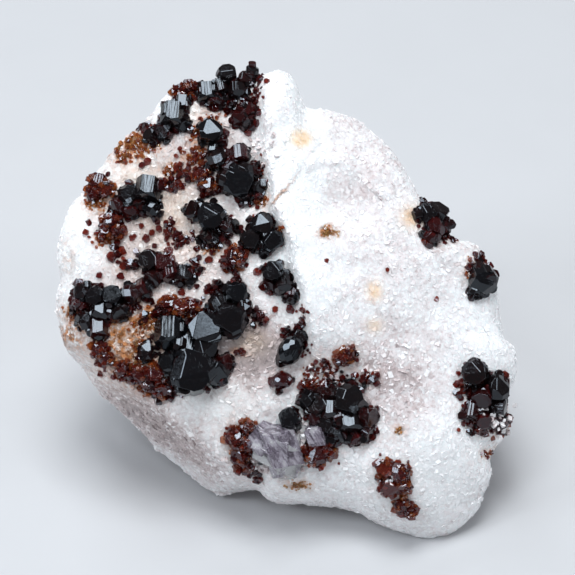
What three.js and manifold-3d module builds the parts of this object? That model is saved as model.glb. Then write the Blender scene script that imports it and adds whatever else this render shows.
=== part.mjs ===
// Uvite on magnesite matrix: a cabinet mineral specimen, in millimetres, +Z up.
//
// The rock is drawn in its own face frame: u runs across the crystal face, v up it and w straight
// out of it. The whole specimen leans back by FACE_TILT and rests on the broad flat underside of
// the rock, at Z = 0.

import * as THREE from 'three';
import { ConvexGeometry } from 'three/addons/geometries/ConvexGeometry.js';
import { mergeVertices } from 'three/addons/utils/BufferGeometryUtils.js';
import Module from 'manifold-3d';

const wasm = await Module();
wasm.setup();

const { cos, sin, sqrt, abs, exp, hypot, atan2, min, max, PI } = Math;
const radians = THREE.MathUtils.degToRad;

// ---------------------------------------------------------------- driving dimensions

const FACE_TILT = 48; // degrees from level that the crystal face leans back
const FACE_HEIGHT = 45; // face frame's origin above the underside
const FACE_PLACE = [0.55, -4.94]; // face frame's origin from the middle of the specimen, X and Y
const FINENESS = 9; // subdivisions of the rock's surface
const CLEARANCE = 0.3; // between a crystal and the rock it sits on

// Outline of the rock as seen square on to the crystal face, anticlockwise from the right.
const OUTLINE = [
  [50.6, 0], [50, 5], [47.6, 9.4], [44.6, 13.6], [39.2, 15.2], [35.4, 19.5], [32.4, 24.4],
  [30, 27.9], [27.8, 32.4], [25.2, 36], [21.4, 39.8], [15.6, 43.9], [9.4, 46.1], [4.4, 46.7],
  [2.9, 50], [1.1, 54.2], [-1.8, 56.4], [-5.6, 55], [-10, 53.4], [-15, 52.6], [-23.3, 51.9],
  [-28.9, 49.2], [-33.1, 44.6], [-36.8, 40.5], [-41.3, 36.8], [-44.6, 32.4], [-48, 27.6],
  [-52.3, 23.2], [-54.6, 17.8], [-55.8, 11.8], [-55, 5.8], [-55.9, 0.5], [-55, -6.7],
  [-53.4, -11.6], [-49.1, -16.6], [-45.7, -22.1], [-39.2, -28.1], [-33.5, -34.7], [-24.6, -41.8],
  [-19.2, -46], [-16.4, -47], [-11.4, -46.2], [-8, -45.9], [-4.2, -48.2], [5.5, -49.2],
  [15.6, -50.5], [22.1, -53.8], [27.2, -55.8], [33, -57.2], [38.4, -56.6], [41.6, -54.4],
  [45.4, -50.2], [49, -42.4], [49.2, -36.6], [52.2, -32.2], [53.8, -29], [53, -23.6],
  [55.3, -16.6], [54.6, -11], [51.8, -8],
];

// How far out of the face the rim stands: degrees round the outline, and w.
const RIM_DEPTHS = [
  [0, -1], [45, 1], [75, 2], [95, 5], [130, 3], [165, 1], [190, -2], [212, -11], [235, -15],
  [252, -12], [275, -7], [300, -6], [325, -4],
];

// Fracture planes that shaped the back: the way each faces as u, v, w, and its distance from
// the middle of the rock.
const ROCK_MIDDLE = new THREE.Vector3(0, -2, -20);
const FRACTURES = [
  { faces: [0.05, 0.8, -0.6], out: 33 }, // steep rear face, down from the summit
  { faces: [0.1, -0.1, -1], out: 33 }, // rear face that runs with the crystal face
  { faces: [0.85, 0.15, -0.55], out: 41 }, // right shoulder
  { faces: [0.55, 0.6, -0.6], out: 38 }, // right rear corner
  { faces: [-0.75, 0.35, -0.6], out: 39 }, // left rear corner
  { faces: [-0.62, -0.45, -0.66], out: 37 }, // lower left flank
];
const FRACTURE_SHARPNESS = 16; // higher is a sharper ridge between two fractures
const BACK_DEPTH = 78; // the back before the fractures, behind the rim

// The white ridge down the face: its left border as v, u, and how high it stands there.
const RIDGE_BORDER = [
  [57, -6.6], [36, -6.2], [24, -4], [12, 0.4], [0, 3.2], [-9, 5], [-20, 7],
];
const RIDGE_HEIGHT = 4.8;
const RIDGE_STEP = 3; // half-width of the drop at its left border
const RIDGE_SPREAD = 13; // to the right of its border

// Crease above the shaded lower left flank, from one end to the other, and its steepness.
const FLANK_CREASE = [[-46, -13.5], [-11.5, -41]];
const FLANK_SLOPE = 2.1;

// Swells and hollows of the face: centre u, v, half-width along u and v, and height.
const SWELLS = [
  { at: [-2, 50], size: [5.5, 7], high: 2.5 }, // summit knob
  { at: [-33, 14], size: [17, 20], high: -2.4 }, // druse basin
  { at: [16, 38], size: [9, 6.5], high: -2 }, // upper conchoidal hollow
  { at: [14, 23.5], size: [8.5, 7], high: -2.2 }, // lower conchoidal hollow
  { at: [34, -37], size: [15, 15], high: 3.6 }, // granular lower right boss
  { at: [41, 2], size: [10, 14], high: -1.6 }, // dip inside the right rim
  { at: [-3, -34], size: [9, 8], high: -2.2 }, // vug of the clear crystals
  { at: [8, -20], size: [13, 8], high: -1.2 }, // saddle under the ridge's foot
];

// ---------------------------------------------------------------- finishes

const finish = (color, roughness, extra = {}) =>
  new THREE.MeshStandardMaterial({ color, roughness, metalness: 0, ...extra });

const MAGNESITE = finish(0xe9e4e6, 0.62);
const UVITE = finish(0x140a0a, 0.14);
const RED_UVITE = finish(0x4a120c, 0.18);
const CLEAR = finish(0xcfc6d2, 0.1, { transparent: true, opacity: 0.6 });

// ---------------------------------------------------------------- solids and joins

/** A closed geometry as a manifold solid. */
function solidOf(geometry) {
  const bare = geometry.clone();
  bare.deleteAttribute('normal');
  bare.deleteAttribute('uv');
  const merged = mergeVertices(bare, 1e-4);
  return new wasm.Manifold(new wasm.Mesh({
    numProp: 3,
    vertProperties: merged.attributes.position.array,
    triVerts: new Uint32Array(merged.index.array),
  }));
}

/** A manifold solid as a named mesh. */
function meshOf(name, solid, material) {
  const { vertProperties, triVerts } = solid.getMesh();
  const geometry = new THREE.BufferGeometry();
  geometry.setAttribute('position', new THREE.BufferAttribute(vertProperties, 3));
  geometry.setIndex(new THREE.BufferAttribute(triVerts, 1));
  geometry.computeVertexNormals();
  const mesh = new THREE.Mesh(geometry, material);
  mesh.name = name;
  return mesh;
}

const joined = (solids) => solids.reduce((whole, next) => whole.add(next));

// ---------------------------------------------------------------- the rock

/** Smooth value between the nearest two rows of [key, value], in falling or rising key order. */
function between(rows, key) {
  const rising = rows[0][0] < rows[rows.length - 1][0];
  const ordered = rising ? rows : [...rows].reverse();
  const last = ordered.length - 1;
  if (key <= ordered[0][0]) return ordered[0][1];
  if (key >= ordered[last][0]) return ordered[last][1];
  const next = ordered.findIndex(([at]) => at > key);
  const [from, a] = ordered[next - 1];
  const [to, b] = ordered[next];
  return a + (b - a) * THREE.MathUtils.smoothstep(key, from, to);
}

const outlineCurve = new THREE.CatmullRomCurve3(
  OUTLINE.map(([u, v]) => new THREE.Vector3(u, v, 0)), true, 'centripetal',
);
const outlineRadii = outlineCurve.getPoints(1200)
  .map((p) => [(atan2(p.y, p.x) * 180 / PI + 360) % 360, hypot(p.x, p.y)])
  .sort((a, b) => a[0] - b[0]);
outlineRadii.unshift([outlineRadii[outlineRadii.length - 1][0] - 360,
  outlineRadii[outlineRadii.length - 1][1]]);
outlineRadii.push([outlineRadii[1][0] + 360, outlineRadii[1][1]]);
const rimRows = [...RIM_DEPTHS, [360, RIM_DEPTHS[0][1]]];

/** Distance from the face frame's axis to the outline at an angle in degrees. */
function outlineRadius(angle) {
  let low = 0;
  let high = outlineRadii.length - 1;
  while (high - low > 1) {
    const middle = (low + high) >> 1;
    if (outlineRadii[middle][0] > angle) high = middle;
    else low = middle;
  }
  const [a, ra] = outlineRadii[low];
  const [b, rb] = outlineRadii[high];
  return b > a ? ra + (rb - ra) * (angle - a) / (b - a) : ra;
}

/** Broken-rock unevenness in mm, from waves that cross at odd angles. */
function roughness(u, v, w) {
  const coarse = sin(0.31 * u + 0.17 * v + 1.1) * sin(0.23 * v - 0.29 * w + 0.4);
  const medium = sin(0.53 * u - 0.61 * v + 0.37 * w) * sin(0.47 * v + 0.71 * w + 2);
  const fine = sin(1.13 * u + 0.79 * v - 0.9 * w + 0.7) * sin(0.97 * u - 1.21 * v + 0.6 * w);
  return 0.7 * coarse + 0.45 * medium + 0.25 * fine;
}

/** Height of the face over (u, v), before its edge rolls off. */
function relief(u, v) {
  let high = 12 - 0.0016 * (u * u + v * v) - 0.07 * max(0, u - 14);
  for (const { at, size, high: rise } of SWELLS) {
    high += rise * exp(-(((u - at[0]) / size[0]) ** 2) - ((v - at[1]) / size[1]) ** 2);
  }
  const past = u - between(RIDGE_BORDER, v);
  const crest = exp(-((max(0, past) / RIDGE_SPREAD) ** 2));
  const fade = THREE.MathUtils.smoothstep(v, -22, 2);
  high += RIDGE_HEIGHT * crest * fade * THREE.MathUtils.smoothstep(past, -RIDGE_STEP, RIDGE_STEP);
  const [[u0, v0], [u1, v1]] = FLANK_CREASE;
  const down = ((u1 - u0) * (v0 - v) - (v1 - v0) * (u0 - u)) / hypot(u1 - u0, v1 - v0);
  high -= FLANK_SLOPE * max(0, down);
  return high + roughness(u, v, 0) * 0.8;
}

/** Height of the finished face over (u, v): the relief, rolled off at the rim. */
function faceAt(u, v, swell = 0) {
  const angle = (atan2(v, u) * 180 / PI + 360) % 360;
  const share = min(1, hypot(u, v) / (outlineRadius(angle) + swell));
  const rim = between(rimRows, angle);
  return rim + (relief(u, v) + swell - rim) * sqrt(1 - share ** 8);
}

/** The rock before its underside is cut flat, swollen on request to make room for a gap. */
function rockSolid(swell = 0) {
  const ball = new THREE.IcosahedronGeometry(1, FINENESS);
  ball.deleteAttribute('normal');
  ball.deleteAttribute('uv');
  const geometry = mergeVertices(ball, 1e-5);
  const points = geometry.attributes.position;
  const p = new THREE.Vector3();
  for (let i = 0; i < points.count; i++) {
    p.fromBufferAttribute(points, i).normalize();
    const angle = (atan2(p.y, p.x) * 180 / PI + 360) % 360;
    const share = min(1, hypot(p.x, p.y));
    const reach = (outlineRadius(angle) + swell) * share;
    const u = reach * cos(radians(angle));
    const v = reach * sin(radians(angle));
    const rim = between(rimRows, angle);
    let w = faceAt(u, v, swell);
    if (p.z < 0) w = rim - (BACK_DEPTH + swell) * max(0, 1 - share ** 2.2) ** 0.8;
    const ray = new THREE.Vector3(u, v, w).sub(ROCK_MIDDLE);
    let blend = 1;
    for (const { faces, out } of FRACTURES) {
      const normal = new THREE.Vector3(...faces).normalize();
      const along = normal.dot(ray) / (out + swell);
      if (along > 0) blend += along ** FRACTURE_SHARPNESS;
    }
    const kept = blend ** (-1 / FRACTURE_SHARPNESS);
    const uneven = p.z < 0 ? roughness(u, v, w) * min(1, -3 * p.z) / ray.length() : 0;
    ray.multiplyScalar(kept * (1 + uneven)).add(ROCK_MIDDLE);
    points.setXYZ(i, ray.x, ray.y, ray.z);
  }
  return solidOf(geometry);
}

/** Everything below the table, in the face frame. */
function belowTable() {
  const block = new THREE.BoxGeometry(400, 400, 200);
  block.translate(0, 0, -100 - FACE_HEIGHT);
  block.rotateX(-radians(FACE_TILT));
  return solidOf(block);
}

// ---------------------------------------------------------------- crystals

const TRIAD = [0, 120, 240];
const HEXAD = [0, 60, 120, 180, 240, 300];

/** Planes that bound a form, as unit normals and distances, from rings of like faces. */
function ringOfFaces(turns, phase, slope, out) {
  return turns.map((turn) => {
    const around = radians(turn + phase);
    const tip = radians(slope);
    return {
      normal: new THREE.Vector3(sin(tip) * cos(around), sin(tip) * sin(around), cos(tip)),
      out,
    };
  });
}

/** The corners where three of the planes meet inside all the others. */
function cornersOf(planes) {
  const corners = [];
  const cross = new THREE.Vector3();
  for (let i = 0; i < planes.length; i++) {
    for (let j = i + 1; j < planes.length; j++) {
      for (let k = j + 1; k < planes.length; k++) {
        const [a, b, c] = [planes[i], planes[j], planes[k]];
        const det = cross.crossVectors(b.normal, c.normal).dot(a.normal);
        if (abs(det) < 1e-6) continue;
        const point = cross.clone().multiplyScalar(a.out)
          .add(cross.clone().crossVectors(c.normal, a.normal).multiplyScalar(b.out))
          .add(cross.clone().crossVectors(a.normal, b.normal).multiplyScalar(c.out))
          .divideScalar(det);
        const inside = planes.every(({ normal, out }) => normal.dot(point) < out + 1e-6);
        const fresh = corners.every((other) => other.distanceTo(point) > 1e-3);
        if (inside && fresh) corners.push(point);
      }
    }
  }
  return corners;
}

const RHOMB_SLOPE = 27.3; // degrees from the flat end to the main three-sided pyramid
const STEEP_SLOPE = 46; // and to the steep one that alternates with it

/** Corners of a uvite crystal with a half-width of 1: a stubby prism under a capped pyramid. */
function uviteCorners(height, cap) {
  const pyramid = cos(radians(RHOMB_SLOPE)) * height + sin(radians(RHOMB_SLOPE)) * cap;
  const steep = cos(radians(STEEP_SLOPE)) * height + sin(radians(STEEP_SLOPE)) * (cap + 0.18);
  return cornersOf([
    ...ringOfFaces(HEXAD, 0, 90, 1),
    ...ringOfFaces(TRIAD, 30, 90, 1.06),
    ...ringOfFaces([0], 0, 0, height),
    ...ringOfFaces(TRIAD, 30, RHOMB_SLOPE, pyramid),
    ...ringOfFaces(TRIAD, 90, STEEP_SLOPE, steep),
    ...ringOfFaces([0], 0, 180, 1),
  ]);
}

/** Corners of a plain six-sided uvite, for the small ones. */
function stubCorners(height, cap) {
  const pyramid = cos(radians(STEEP_SLOPE)) * height + sin(radians(STEEP_SLOPE)) * cap;
  return cornersOf([
    ...ringOfFaces(HEXAD, 0, 90, 1),
    ...ringOfFaces([0], 0, 0, height),
    ...ringOfFaces(TRIAD, 30, STEEP_SLOPE, pyramid),
    ...ringOfFaces([0], 0, 180, 1),
  ]);
}

/** Corners of a cleavage rhomb of clear magnesite with a half-width of 1. */
const rhombCorners = () => cornersOf([
  ...ringOfFaces(TRIAD, 0, 44, 1),
  ...ringOfFaces(TRIAD, 60, 136, 1),
]);

const FULL_UVITE = uviteCorners(0.85, 0.62);
const PLAIN_UVITE = stubCorners(0.92, 0.48);
const RHOMB = rhombCorners();
const FULL_FROM = 5.5; // width from which a crystal has all its faces
const SEAT_RISE = 0.24; // a crystal's middle stands this share of its width above the rock

/** One crystal: u, v, width, degrees its axis leans from w, the way it leans, and its turn. */
function crystalSolid(corners, [u, v, width, lean = 0, toward = 0, turn = 0], swell) {
  const geometry = new ConvexGeometry(corners);
  geometry.scale(...Array(3).fill(width / 2 + swell));
  geometry.rotateZ(radians(turn - toward));
  geometry.rotateY(radians(lean));
  geometry.rotateZ(radians(toward));
  geometry.translate(u, v, faceAt(u, v) + SEAT_RISE * width);
  return solidOf(geometry);
}

const uviteSolid = (row, swell) =>
  crystalSolid(row[2] < FULL_FROM ? PLAIN_UVITE : FULL_UVITE, row, swell);

/** All the uvite of one cluster as a single body, before the rock is cut from it. */
function clusterSolid(rows, swell = 0) {
  return joined(rows.map((row) => uviteSolid(row, swell)));
}

// Each cluster's crystals as [u, v, width, lean, toward, turn]: the near-black clusters first.
const DARK_CLUSTERS = {
  summit_uvite: [
    [-14.4, 54, 4.3, 40, 90, 10], [-10.1, 53.3, 3.4, 30, 60, 20], [-8.6, 55, 3, 55, 80, 0],
    [-19.2, 49.7, 4.4, 15, 120, 35], [-17.3, 48, 3.2, 20, 250, 0], [-12, 49.9, 4, 25, 30, 50],
    [-15.8, 51.2, 3.4, 20, 200, 15],
  ],
  upper_left_uvite: [
    [-27.4, 44.2, 5.6, 12, 150, 8], [-25.2, 47.4, 3, 30, 70, 0],
    [-29.8, 40.6, 3.8, 20, 220, 5], [-32.6, 39.4, 3, 45, 140, 0], [-24.8, 42, 3, 25, 320, 40],
  ],
  lone_upper_uvite: [[-18.5, 40.3, 5.6, 22, 70, 12], [-16.6, 38.4, 2.6, 40, 300, 0]],
  ridge_top_uvite: [
    [-9.4, 45.8, 3.4, 15, 160, 10], [-11.7, 43.8, 3.6, 20, 240, 30], [-9.9, 42.8, 2.6, 30, 300, 0],
  ],
  cliff_uvite: [
    [-12, 28.6, 7, 18, 330, 5], [-16.6, 34.2, 4.8, 25, 120, 20], [-11.5, 34.8, 3.8, 20, 60, 0],
    [-13.9, 32.2, 4, 12, 100, 45], [-8.2, 31.2, 3.4, 30, 20, 10], [-7.2, 27, 3.4, 25, 350, 30],
    [-10, 24.7, 3, 40, 300, 0],
  ],
  left_uvite: [
    [-33.4, 26.6, 5.6, 20, 60, 4], [-37.7, 25.4, 4.4, 25, 150, 20], [-40.3, 23, 3.8, 30, 200, 0],
    [-37.4, 22, 3.6, 25, 260, 35], [-32.4, 22.2, 3.4, 20, 310, 10], [-35.4, 23.9, 3.4, 10, 90, 50],
  ],
  middle_uvite: [
    [-18.2, 20.2, 6.4, 14, 100, 28], [-21.7, 21.5, 4.4, 30, 160, 0], [-18.2, 15.2, 3.4, 35, 260, 15],
    [-14.3, 17.6, 3.4, 30, 320, 40],
  ],
  foot_of_cliff_uvite: [
    [-6, 18.2, 5, 20, 80, 15], [-8.4, 15, 4.4, 25, 220, 0], [-4, 15.1, 4.6, 20, 330, 32],
    [-6.2, 13, 3, 40, 270, 10],
  ],
  lower_cliff_uvite: [
    [-3.4, 6.8, 4.4, 20, 130, 10], [-1.2, 4.2, 4.2, 15, 30, 35], [0.8, 2.2, 3.2, 30, 320, 0],
    [-4.2, 4.2, 2.6, 35, 230, 20],
  ],
  left_band_uvite: [
    [-33.1, 9.6, 4.4, 20, 120, 8], [-30, 9, 4, 10, 60, 30], [-28, 7, 4, 20, 300, 0],
    [-32, 5.8, 4, 25, 240, 15], [-24.6, 6, 4, 12, 20, 42],
    [-37, 2, 4.4, 18, 80, 12], [-34.6, 3.4, 3.6, 20, 270, 0],
    [-41.6, 1.2, 4.6, 15, 110, 25], [-45.4, 1.2, 4.4, 20, 150, 5], [-48.8, 2.4, 3.6, 35, 170, 30],
    [-40, -2.2, 3.8, 30, 290, 0], [-44.5, -2.4, 4.4, 10, 200, 40], [-48, -4.3, 4.4, 25, 190, 10],
    [-45, -6.4, 4.2, 30, 260, 28], [-49.8, -0.6, 3.4, 45, 180, 0],
  ],
  main_uvite: [
    [-21.8, -15.4, 11.6, 24, 262, 8], [-19.7, -6, 7.2, 6, 60, 18], [-27.8, -7.8, 7, 70, 70, 14],
    [-23.6, -11.2, 6.4, 35, 120, 30], [-16.8, -16.6, 5, 30, 340, 20], [-15, -14.2, 3.6, 45, 10, 0],
    [-28, -14, 4.6, 35, 190, 10], [-20, -10.4, 6, 20, 30, 44],
    [-13.7, -4, 7.6, 16, 300, 26], [-16.3, -0.6, 4.4, 20, 130, 0], [-12.2, 2.2, 4.8, 14, 40, 12],
    [-10.4, -1, 4, 30, 10, 36],
  ],
  left_stud_uvite: [[-33.6, -11.4, 3.6, 15, 150, 12]],
  egg_uvite: [
    [0.5, -11.4, 6.4, 30, 120, 16], [2.9, -8.2, 3.2, 20, 50, 0], [-1.4, -13.6, 2.8, 40, 240, 30],
  ],
  lower_middle_uvite: [
    [14.2, -23.2, 7.6, 20, 50, 9], [7, -24.5, 5.2, 15, 120, 0], [4.6, -23, 4.4, 30, 150, 35],
    [10.2, -26.4, 5, 20, 250, 12], [18.4, -27.2, 5, 30, 350, 28], [14.8, -28.4, 5.4, 15, 280, 5],
    [11.6, -31, 4.2, 35, 250, 20], [16, -32, 3.4, 45, 300, 0], [9, -22, 4, 25, 90, 40],
  ],
  vug_upper_uvite: [[0.4, -28, 4.8, 25, 110, 18]],
  right_shoulder_uvite: [
    [32.8, 21.2, 4.4, 25, 130, 0], [35.6, 21.4, 5, 50, 60, 22], [34.8, 18, 4.6, 35, 20, 10],
    [33.9, 15.4, 3.2, 30, 300, 0], [37.2, 18.4, 3.6, 65, 30, 35],
  ],
  right_edge_uvite: [
    [46.6, 5, 6.2, 55, 350, 15], [45.6, 7.8, 3.6, 45, 40, 0], [44.6, 2.8, 3, 30, 300, 20],
  ],
  lower_right_uvite: [
    [44.4, -17.2, 5.8, 20, 120, 10], [49.4, -20.4, 6.2, 45, 10, 24], [46, -22.8, 4.6, 25, 260, 0],
    [43.4, -26.2, 3.6, 25, 220, 35], [46.4, -28.2, 3.8, 30, 300, 12], [50.4, -25, 4.2, 50, 350, 0],
    [51, -29.2, 3.2, 60, 340, 18],
  ],
};

// Clusters of small crystals, thin enough for their red to show.
const RED_CLUSTERS = {
  upper_edge_red_uvite: [[-23.6, 51.3, 2.8, 50, 100, 0], [-25.8, 50.6, 2.4, 60, 120, 20]],
  upper_basin_red_uvite: [[-20.8, 30, 3.4, 10, 200, 15], [-19.2, 27.6, 3, 15, 60, 0]],
  rim_upper_red_uvite: [
    [-45.4, 28.3, 3.6, 25, 120, 12], [-43.5, 26.9, 3.4, 15, 40, 0], [-46.1, 25.8, 3, 40, 200, 30],
  ],
  rim_middle_red_uvite: [
    [-42.2, 18.7, 4, 15, 100, 22], [-40.8, 16.9, 2.8, 30, 330, 0], [-43.5, 16.8, 2.8, 35, 220, 10],
  ],
  middle_red_uvite: [[-12.3, 10.7, 4.2, 15, 60, 20], [-14.2, 9.3, 2.8, 30, 210, 0]],
  band_red_uvite: [
    [-25.4, -1.3, 3.6, 20, 100, 14], [-28.2, -0.6, 3, 30, 150, 0], [-22.4, -1.2, 3, 25, 30, 33],
  ],
  lower_left_red_uvite: [
    [-39, -16, 3.2, 30, 170, 0], [-35.3, -17.4, 3.6, 20, 240, 18], [-31.6, -17.2, 3.6, 15, 60, 30],
    [-30.2, -20.6, 3.2, 40, 280, 0], [-33.2, -19.8, 3, 45, 250, 12],
  ],
  rim_lower_red_uvite: [[-45, -11.4, 3, 30, 200, 10], [-43.5, -13.3, 2.8, 40, 230, 0]],
  lone_red_uvite: [[-1.4, -18.5, 4.2, 15, 90, 24], [-3.3, -18.8, 2.4, 35, 190, 0]],
  ridge_foot_red_uvite: [[14.2, -12, 2.8, 20, 60, 10], [12.6, -13.2, 2.4, 30, 200, 0]],
  vug_left_red_uvite: [
    [-12.5, -32.2, 3.6, 20, 150, 8], [-9.8, -33.4, 4, 15, 240, 0], [-11.4, -36.6, 3.6, 30, 200, 30],
    [-9.6, -29.9, 3, 30, 90, 15], [-10.7, -38.8, 3.4, 45, 250, 0],
  ],
  vug_right_red_uvite: [
    [6.8, -36, 4.8, 20, 300, 12], [9, -35.2, 3.2, 30, 20, 0], [4.4, -35.6, 2.8, 35, 200, 30],
  ],
  boss_red_uvite: [
    [23.3, -39.8, 4, 15, 130, 0], [26.2, -40.4, 4.2, 20, 40, 18], [24.2, -43.4, 3.8, 20, 260, 33],
    [27, -43.2, 3.4, 25, 320, 0],
  ],
  boss_lower_red_uvite: [[27.1, -48.4, 3.2, 30, 250, 10], [28.8, -49.6, 2.8, 40, 300, 0]],
};

// Clear crystals, as rows like the uvites'.
const CLEAR_GROUPS = {
  clear_magnesite_group: [
    [-2.2, -33.4, 8, 62, 40, 10], [-5.6, -31.8, 5.6, 50, 120, 25], [-1.6, -37, 6.4, 40, 250, 0],
    [-5.6, -35.8, 5, 65, 200, 35], [1, -35, 4.4, 30, 330, 15],
  ],
  clear_magnesite_stud: [[6.8, -31.4, 3.6, 30, 60, 0]],
};

const rock = rockSolid().subtract(belowTable());
const rockSkin = rockSolid(CLEARANCE);
const specimen = new THREE.Group();
specimen.rotation.x = radians(FACE_TILT);
specimen.position.set(...FACE_PLACE, FACE_HEIGHT);
specimen.add(meshOf('magnesite_matrix', rock, MAGNESITE));

for (const [clusters, material] of [[DARK_CLUSTERS, UVITE], [RED_CLUSTERS, RED_UVITE]]) {
  for (const [name, rows] of Object.entries(clusters)) {
    specimen.add(meshOf(name, clusterSolid(rows).subtract(rockSkin), material));
  }
}

const everyUvite = [...Object.values(DARK_CLUSTERS), ...Object.values(RED_CLUSTERS)];
const uviteSkin = joined(everyUvite.map((rows) => clusterSolid(rows, CLEARANCE)));
for (const [name, rows] of Object.entries(CLEAR_GROUPS)) {
  const group = joined(rows.map((row) => crystalSolid(RHOMB, row, 0)));
  specimen.add(meshOf(name, group.subtract(rockSkin).subtract(uviteSkin), CLEAR));
}

export default specimen;
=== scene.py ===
import logging
from dataclasses import dataclass, field
from enum import Enum
from itertools import combinations
from math import cos, pi, radians, sin
from typing import Any, Mapping, Sequence

import bpy
import numpy as np
from mathutils import Matrix, Vector


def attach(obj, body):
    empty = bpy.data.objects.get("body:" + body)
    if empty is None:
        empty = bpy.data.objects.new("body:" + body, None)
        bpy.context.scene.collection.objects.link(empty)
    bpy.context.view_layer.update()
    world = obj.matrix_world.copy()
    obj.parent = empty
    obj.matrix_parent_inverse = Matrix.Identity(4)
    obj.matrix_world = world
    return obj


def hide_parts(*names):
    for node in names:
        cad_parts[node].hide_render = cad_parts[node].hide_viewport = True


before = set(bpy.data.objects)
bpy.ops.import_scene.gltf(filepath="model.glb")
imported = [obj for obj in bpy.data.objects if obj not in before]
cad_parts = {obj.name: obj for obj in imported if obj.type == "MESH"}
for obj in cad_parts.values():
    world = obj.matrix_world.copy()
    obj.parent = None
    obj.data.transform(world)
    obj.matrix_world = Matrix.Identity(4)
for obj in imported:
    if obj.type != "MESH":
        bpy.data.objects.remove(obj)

# Uvite on magnesite matrix. Lengths are millimetres in the specimen's face frame (u across the
# crystal face, v up it, w straight out of it) until FaceFrame turns them into metres in the row
# frame. The rock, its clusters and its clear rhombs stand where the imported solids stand.

Array = np.ndarray
Colour = tuple[float, float, float]
Rows = Sequence[Sequence[float]]

log = logging.getLogger("uvite_specimen")
MM = 0.001
BODY = "root"
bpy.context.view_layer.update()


class Slot(Enum):
    """The record's material slots."""

    MAGNESITE = "magnesite"
    UVITE = "uvite"
    RED_UVITE = "red_uvite"
    CLEAR = "clear_magnesite"


# ---- the face frame


@dataclass(frozen=True)
class FaceFrame:
    """Where the crystal face lies in the row frame."""

    tilt: float = 48.0
    height: float = 45.0
    place: tuple[float, float] = (0.55, -4.94)

    @property
    def turn(self) -> Array:
        """Matrix whose columns are u, v and w in the row frame."""
        c, s = cos(radians(self.tilt)), sin(radians(self.tilt))
        return np.array([[1.0, 0.0, 0.0], [0.0, c, -s], [0.0, s, c]])

    def to_row(self, points: Array) -> Array:
        """Turns face-frame millimetres into row-frame metres.

        Args:
            points: places as u, v, w in the last axis.

        Returns:
            The same places as X, Y, Z.
        """
        return (points @ self.turn.T + np.array([*self.place, self.height])) * MM

    def above_table(self, points: Array) -> Array:
        """Height over the table, in millimetres, of face-frame places."""
        return points @ self.turn[2] + self.height


FACE = FaceFrame()


# ---- smooth and random numbers


def unit(vectors: Array) -> Array:
    """Vectors at length 1."""
    return vectors / np.linalg.norm(vectors, axis=-1, keepdims=True)


def smoothstep(x: Array, low: float, high: float) -> Array:
    """Rise from 0 at low to 1 at high: 3 t^2 - 2 t^3 of the clipped share t."""
    t = np.clip((x - low) / (high - low), 0.0, 1.0)
    return t * t * (3.0 - 2.0 * t)


def between(rows: Rows, key: Array) -> Array:
    """Value along rows of (key, value), a smoothstep from each row to the next.

    Args:
        rows: pairs in rising key order.
        key: where to read.

    Returns:
        The values, held level past both ends.
    """
    keys, values = np.array(rows, float).T
    inside = np.clip(key, keys[0], keys[-1])
    step = np.clip(np.searchsorted(keys, inside, side="right") - 1, 0, len(keys) - 2)
    share = (inside - keys[step]) / (keys[step + 1] - keys[step])
    return values[step] + (values[step + 1] - values[step]) * smoothstep(share, 0.0, 1.0)


def spots(u: Array, v: Array, rows: Rows) -> Array:
    """Sum of soft oval spots, each a height times a bell curve along u and along v.

    Args:
        u: across the face.
        v: up the face.
        rows: spots as u, v, half-width along u, half-width along v, height.

    Returns:
        The summed height at each place.
    """
    total = np.zeros_like(u)
    for cu, cv, ru, rv, high in rows:
        total += high * np.exp(-(((u - cu) / ru) ** 2) - ((v - cv) / rv) ** 2)
    return total


def from_line(u: Array, v: Array, line: Rows) -> Array:
    """Distance from a bent line, less than 0 on the right-hand side of the way it runs.

    Args:
        u: across the face.
        v: up the face.
        line: the line's corners as u, v.

    Returns:
        The distance to the nearest stretch.
    """
    signed = np.full_like(u, 1e3)
    for (u0, v0), (u1, v1) in zip(line[:-1], line[1:]):
        du, dv = u1 - u0, v1 - v0
        t = np.clip(((u - u0) * du + (v - v0) * dv) / (du * du + dv * dv), 0.0, 1.0)
        gap = np.hypot(u - u0 - t * du, v - v0 - t * dv)
        side = np.where(du * (v - v0) - dv * (u - u0) > 0.0, 1.0, -1.0)
        signed = np.where(gap < np.abs(signed), side * gap, signed)
    return signed


def grid_quads(side: int) -> Array:
    """Corner numbers of the squares between the side by side points of a grid.

    Args:
        side: points along one side.

    Returns:
        Four corners for each square.
    """
    cells = np.arange(side * side).reshape(side, side)
    quads = np.stack([cells[:-1, :-1], cells[1:, :-1], cells[1:, 1:], cells[:-1, 1:]], -1)
    return quads.reshape(-1, 4)


def hashed(cells: Array, salt: int) -> Array:
    """Repeatable random numbers for whole-number cells: each cell's numbers are weighed by large
    odd ones and summed, and the bits stirred by shifts and products.

    Args:
        cells: n by 3 whole numbers.
        salt: picks the random set.

    Returns:
        A number from 0 to 1 for each cell.
    """
    weights = np.array([0x9E3779B97F4A7C15, 0xC2B2AE3D27D4EB4F, 0x165667B19E3779F9], np.uint64)
    mixed = (cells.astype(np.int64).view(np.uint64) * weights).sum(-1, dtype=np.uint64)
    mixed += np.uint64(salt * 0x27D4EB2F165667C5 % 2**64)
    for shift, factor in ((30, 0xBF58476D1CE4E5B9), (27, 0x94D049BB133111EB)):
        mixed = (mixed ^ (mixed >> np.uint64(shift))) * np.uint64(factor)
    return (mixed >> np.uint64(11)) / 2.0**53


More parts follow.
